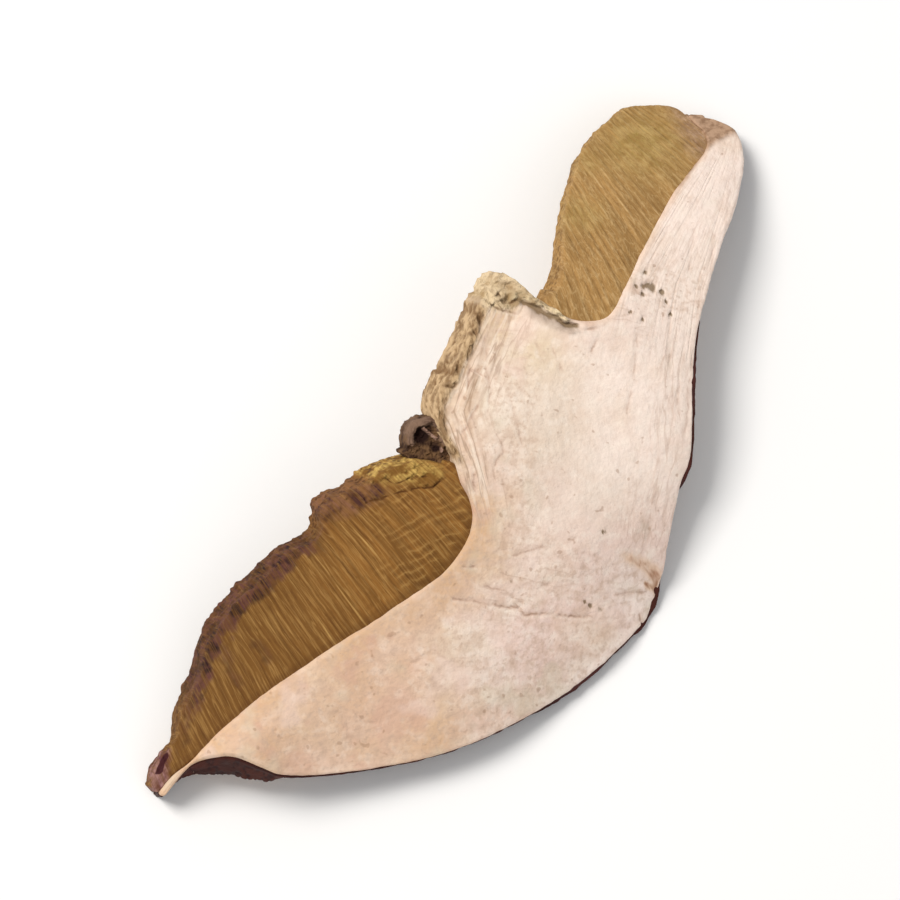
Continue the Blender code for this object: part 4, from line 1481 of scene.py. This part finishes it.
# %% Flesh finish
def flesh_finish():
    finish = Pattern("dried flesh", roughness=0.86)
    place = finish.add("ShaderNodeTexCoord", 3)
    noises = finish.noises(place, FLESH_NOISES)
    base = mottled(finish, regions_of(finish, noises["cloud"]), noises)
    base, lines, side_lines = fibred(finish, base)
    base, soft, dashes = wrinkled(finish, base, place, noises)
    base = stained(finish, base, noises)
    base, ridges = barked(finish, base, place, noises)
    finish.put("Base Color", base)
    felt = finish.noise(place, scale=3200.0, detail=3.0, roughness=0.65)
    finish.bumps([  # height, strength, distance in metres
        (felt, 0.35, 0.00012), (lines, -0.4, 0.00015), (noises["crinkle"], 0.35, 0.0003),
        (side_lines, -0.5, 0.00015), (dashes, -0.5, 0.0002), (ridges, 0.8, 0.0004),
        (finish.crease(0.0, 0.10), -0.35, 0.0002), (soft, -0.5, 0.0002),
    ])
    return finish.material


cap_and_stem.data.materials.append(flesh_finish())
print("flesh finish:", cap_and_stem.data.materials[0].name)

# %% [markdown]
# The tubes are ochre with olive and brown in them. The tops of the ridges get a painted highlight,
# the gaps get painted shade, and here and there a whole tube takes more of the highlight. The
# stored phase counts the tubes, so noise that is stretched along them draws finer lines than the
# mesh can hold.

# %% Ridge colours
LONG_OCHRES = (0.108, 0.042, 0.010), (0.280, 0.123, 0.026), (0.50, 0.29, 0.092)
SHORT_OCHRES = (0.25, 0.13, 0.04), (0.435, 0.245, 0.084), (0.65, 0.445, 0.215)


def shaded(colour, share):
    """A colour with only a share of its light."""
    return tuple(share * part for part in colour)


def ridge_colours(finish, ochres, fine, stroke):
    """Ochre from tube to tube: its broad changes, its fine lines, its gaps and its tops."""
    deep, middle, light = ochres
    place = finish.add("ShaderNodeTexCoord", 3)
    broad = finish.noise(finish.grain((0.7, 0.14, 0.5)), detail=2.0)
    grit = finish.noise(place, scale=2600.0, detail=3.0)
    phase = finish.add("ShaderNodeSeparateXYZ", 0, None, Vector=finish.stored("grain", 1))
    wave = finish.wave(phase)
    net = finish.wave(finish.stored("over"))
    base = finish.blend(finish.curve(broad, 0.35, 0.65), middle, shaded(middle, 0.72))
    base = finish.tint(base, shaded(middle, 0.60), "shade")
    base = finish.blend(finish.curve(grit, 0.50, 0.72, 0.0, 0.25), base, deep)
    base = finish.blend(finish.curve(fine, 0.52, 0.38, 0.0, 0.28), base, light)
    base = finish.blend(finish.curve(fine, 0.54, 0.70, 0.0, 0.38), base, deep)
    hairs = finish.threads(finish.grain((1.9, 0.7 * stroke, 0.8)), 0.035)
    base = finish.tint(base, deep, hairs, 0.35)
    in_cut = finish.curve(finish.stored("wall"), 0.0, 0.8, 1.0, 0.25)
    # Painted shade in the gaps between ridges, weaker on the cut wall.
    gaps = finish.curve(wave, -0.2, -0.95)
    base = finish.tint(base, deep, "deep", gaps, in_cut, 0.62)
    # Painted highlight on the ridge tops, strongest on the tubes stored as lit.
    tops, highlight_breakup = finish.curve(wave, 0.56, 0.97), finish.curve(fine, 0.66, 0.36, 0.15, 0.80)
    base = finish.tint(base, light, "lit", tops, highlight_breakup, in_cut)
    pale_hairs = finish.threads(finish.grain((1.3, 0.5 * stroke, 0.6)), 0.03)
    base = finish.tint(base, light, pale_hairs, 0.3)
    base = finish.tint(base, deep, "crossed", finish.curve(net, 0.2, -0.8), 0.35)
    base = finish.tint(base, light, "crossed", finish.curve(net, 0.60, 0.96), 0.35)
    return finish.tint(base, deep, "by_bed", 0.4)


print("the ochres of the long tubes, from deep to light:", LONG_OCHRES)

# %% [markdown]
# Towards the pores the long layer turns a dark plum red, and both layers change colour in the
# places that were stored on their points. There two colours mingle. The round mouths of the pore
# wall, which are cells of a pattern made for such things, get painted shade. The cracks get painted
# shade and the split at the lower tip its own dark red, both last, so that nothing covers them.

# %% Tube finish
PLACE_COLOURS = {  # by place: two colours that noise mingles
    "rust": ((0.052, 0.017, 0.019), (0.22, 0.100, 0.052)),
    "yolk": ((0.20, 0.095, 0.018), (0.62, 0.41, 0.115)),
    "plum": ((0.020, 0.007, 0.009), (0.112, 0.041, 0.034)),
    "long tip": ((0.13, 0.045, 0.050), (0.34, 0.18, 0.165)),
    "short tip": (ROLLED_DARK, ROLLED_LIGHT),
    "olive": ((0.33, 0.215, 0.060), (0.48, 0.33, 0.12)),
}
PORE_MOUTHS = 2300.0  # mouths to the metre
GASH = (0.050, 0.010, 0.013)


def tube_finish(name, ochres, places, fineness, stroke, curly):
    """The finish of one layer of tubes. A small stroke stretches the fine lines further."""
    finish = Pattern(name, roughness=0.82)
    place = finish.add("ShaderNodeTexCoord", 3)
    along = finish.grain((fineness, stroke, 1.0))
    fine = finish.noise(along, detail=4.0, roughness=0.7, curly=curly)
    base, deep = ridge_colours(finish, ochres, fine, stroke), ochres[0]
    blots = finish.noise(place, scale=900.0, detail=3.0)
    patchy = finish.curve(fine, 0.64, 0.36, 0.35, 1.0)
    for stored, colours in places.items():
        mingled = finish.blend(finish.curve(blots, 0.38, 0.60), *PLACE_COLOURS[colours])
        base = finish.tint(base, mingled, stored, patchy)
    cells = {"Vector": place, "Scale": PORE_MOUTHS}
    mouth_dent_and_shade = finish.add("ShaderNodeTexVoronoi", 0, {"feature": "F1"}, **cells)
    mouth_dent_and_shade = finish.times(finish.curve(mouth_dent_and_shade, 0.28, 0.56, 1.0, 0.0), "wall")
    # Painted shade in the pore mouths.
    base = finish.tint(base, shaded(deep, 0.7), mouth_dent_and_shade, 0.75)
    # Painted shade in the cracks.
    base = finish.tint(base, deep, finish.crease(0.03, 0.10), 0.9)
    base = finish.blend(finish.curve(finish.stored("gash"), 0.15, 0.6, 0.0, 0.95), base, GASH)
    finish.put("Base Color", base)
    finish.bumps([(fine, 0.55, 0.0002), (blots, 0.25, 0.00015), (mouth_dent_and_shade, -0.8, 0.0002)])
    return finish.material


tube_layers["long_tube_layer"].data.materials.append(
    tube_finish(
        "ochre tubes", LONG_OCHRES,
        {"rust": "rust", "yolk": "yolk", "plum": "plum", "tip": "long tip"},
        fineness=3.0, stroke=0.30, curly=0.1,
    )
)
tube_layers["short_tube_layer"].data.materials.append(
    tube_finish(
        "pale ochre tubes", SHORT_OCHRES, {"olive": "olive", "tip": "short tip"},
        fineness=1.8, stroke=1.0, curly=1.3,
    )
)
print("tube finishes:", [piece.data.materials[0].name for piece in tube_layers.values()])

# %% [markdown]
# Dried cap skin looks like thin leather: plum brown, with painted shade that makes it nearly black
# in its folds and a faint violet-grey painted sheen in patches. It shines a little more than the
# flesh.

# %% Skin finish
SKIN_DARK, SKIN_LIGHT, PAINTED_SHEEN, SKIN_FOLD_SHADE = (
    (0.040, 0.009, 0.006), (0.080, 0.021, 0.014), (0.098, 0.040, 0.042), (0.022, 0.009, 0.010),
)


def skin_finish():
    finish = Pattern("cap skin", roughness=0.6, shine=0.12)
    place = finish.add("ShaderNodeTexCoord", 3)
    cloud = finish.noise(place, scale=350.0, detail=4.0)
    base = finish.blend(finish.curve(cloud, 0.35, 0.65), SKIN_DARK, SKIN_LIGHT)
    sheen_patches = finish.noise(place, scale=140.0, detail=2.0)
    # Painted sheen: violet-grey patches laid over the plum brown.
    base = finish.blend(finish.curve(sheen_patches, 0.52, 0.75, 0.0, 0.4), base, PAINTED_SHEEN)
    # Painted shade in the folds.
    finish.put("Base Color", finish.tint(base, SKIN_FOLD_SHADE, "folds", 0.7))
    finish.put("Roughness", finish.curve(cloud, 0.3, 0.7, 0.5, 0.75))
    finish.bumps([(finish.noise(place, scale=1300.0, detail=4.0), 0.5, 0.0002)])
    return finish.material


skin.data.materials.append(skin_finish())
print("skin finish:", skin.data.materials[0].name)

# %% [markdown]
# The knot of rind is the darkest brown of the slice, with a greyer arch, painted shade that makes
# the hollow nearly black, and one fibre that catches the light. Its streaks run round the arch,
# along its own grain.

# %% Rind finish
KNOT_BROWNS = (0.045, 0.020, 0.010), (0.15, 0.080, 0.036)
ARCH_BROWNS = (0.070, 0.036, 0.023), (0.21, 0.128, 0.085)
FIBRE_BROWNS = (0.17, 0.090, 0.062), (0.36, 0.225, 0.165)
HOLLOW_SHADE = (0.016, 0.005, 0.003)


def knot_finish():
    finish = Pattern("dried rind", roughness=0.82)
    place = finish.add("ShaderNodeTexCoord", 3)
    lumps = finish.noise(place, scale=1500.0, detail=3.0)
    streaks = finish.noise(finish.grain((2.2, 0.9, 1.0)), detail=4.0, roughness=0.65)
    lumpy, streaky = (finish.curve(pattern, 0.38, 0.62) for pattern in (lumps, streaks))
    arch = finish.curve(finish.stored("arch"), 0.15, 0.6)
    hollow = finish.curve(finish.stored("hollow"), 0.2, 0.7)
    fibre = finish.curve(finish.stored("fibre"), 0.25, 0.7)
    base = finish.blend(lumpy, *KNOT_BROWNS)
    base = finish.blend(arch, base, finish.blend(streaky, *ARCH_BROWNS))
    # Painted shade in the hollow.
    base = finish.blend(hollow, base, HOLLOW_SHADE)
    base = finish.blend(fibre, base, finish.blend(lumpy, *FIBRE_BROWNS))
    finish.put("Base Color", base)
    finish.bumps([(streaks, 0.6, 0.0002), (lumps, 0.4, 0.0002)])
    return finish.material


knot.data.materials.append(knot_finish())
print("rind finish:", knot.data.materials[0].name)

# %% [markdown]
# Last, each piece is tied to the imported part: it rides on the part's only body, and it stands for
# the plain solid of the same tissue, which is hidden. The knot of rind has no solid of its own, so
# it only rides.

# %% Tie the pieces to the part
STANDS_FOR = [  # piece, the solid that it stands for, and the slot of its finish
    (cap_and_stem, "cap_and_stem", "flesh"),
    (tube_layers["long_tube_layer"], "tubes_long", "tubes"),
    (tube_layers["short_tube_layer"], "tubes_short", "tubes"),
    (skin, "cap_skin", "skin"),
]
for piece, node, slot in STANDS_FOR:
    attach(piece, "root")
    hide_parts(node)
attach(knot, "root")
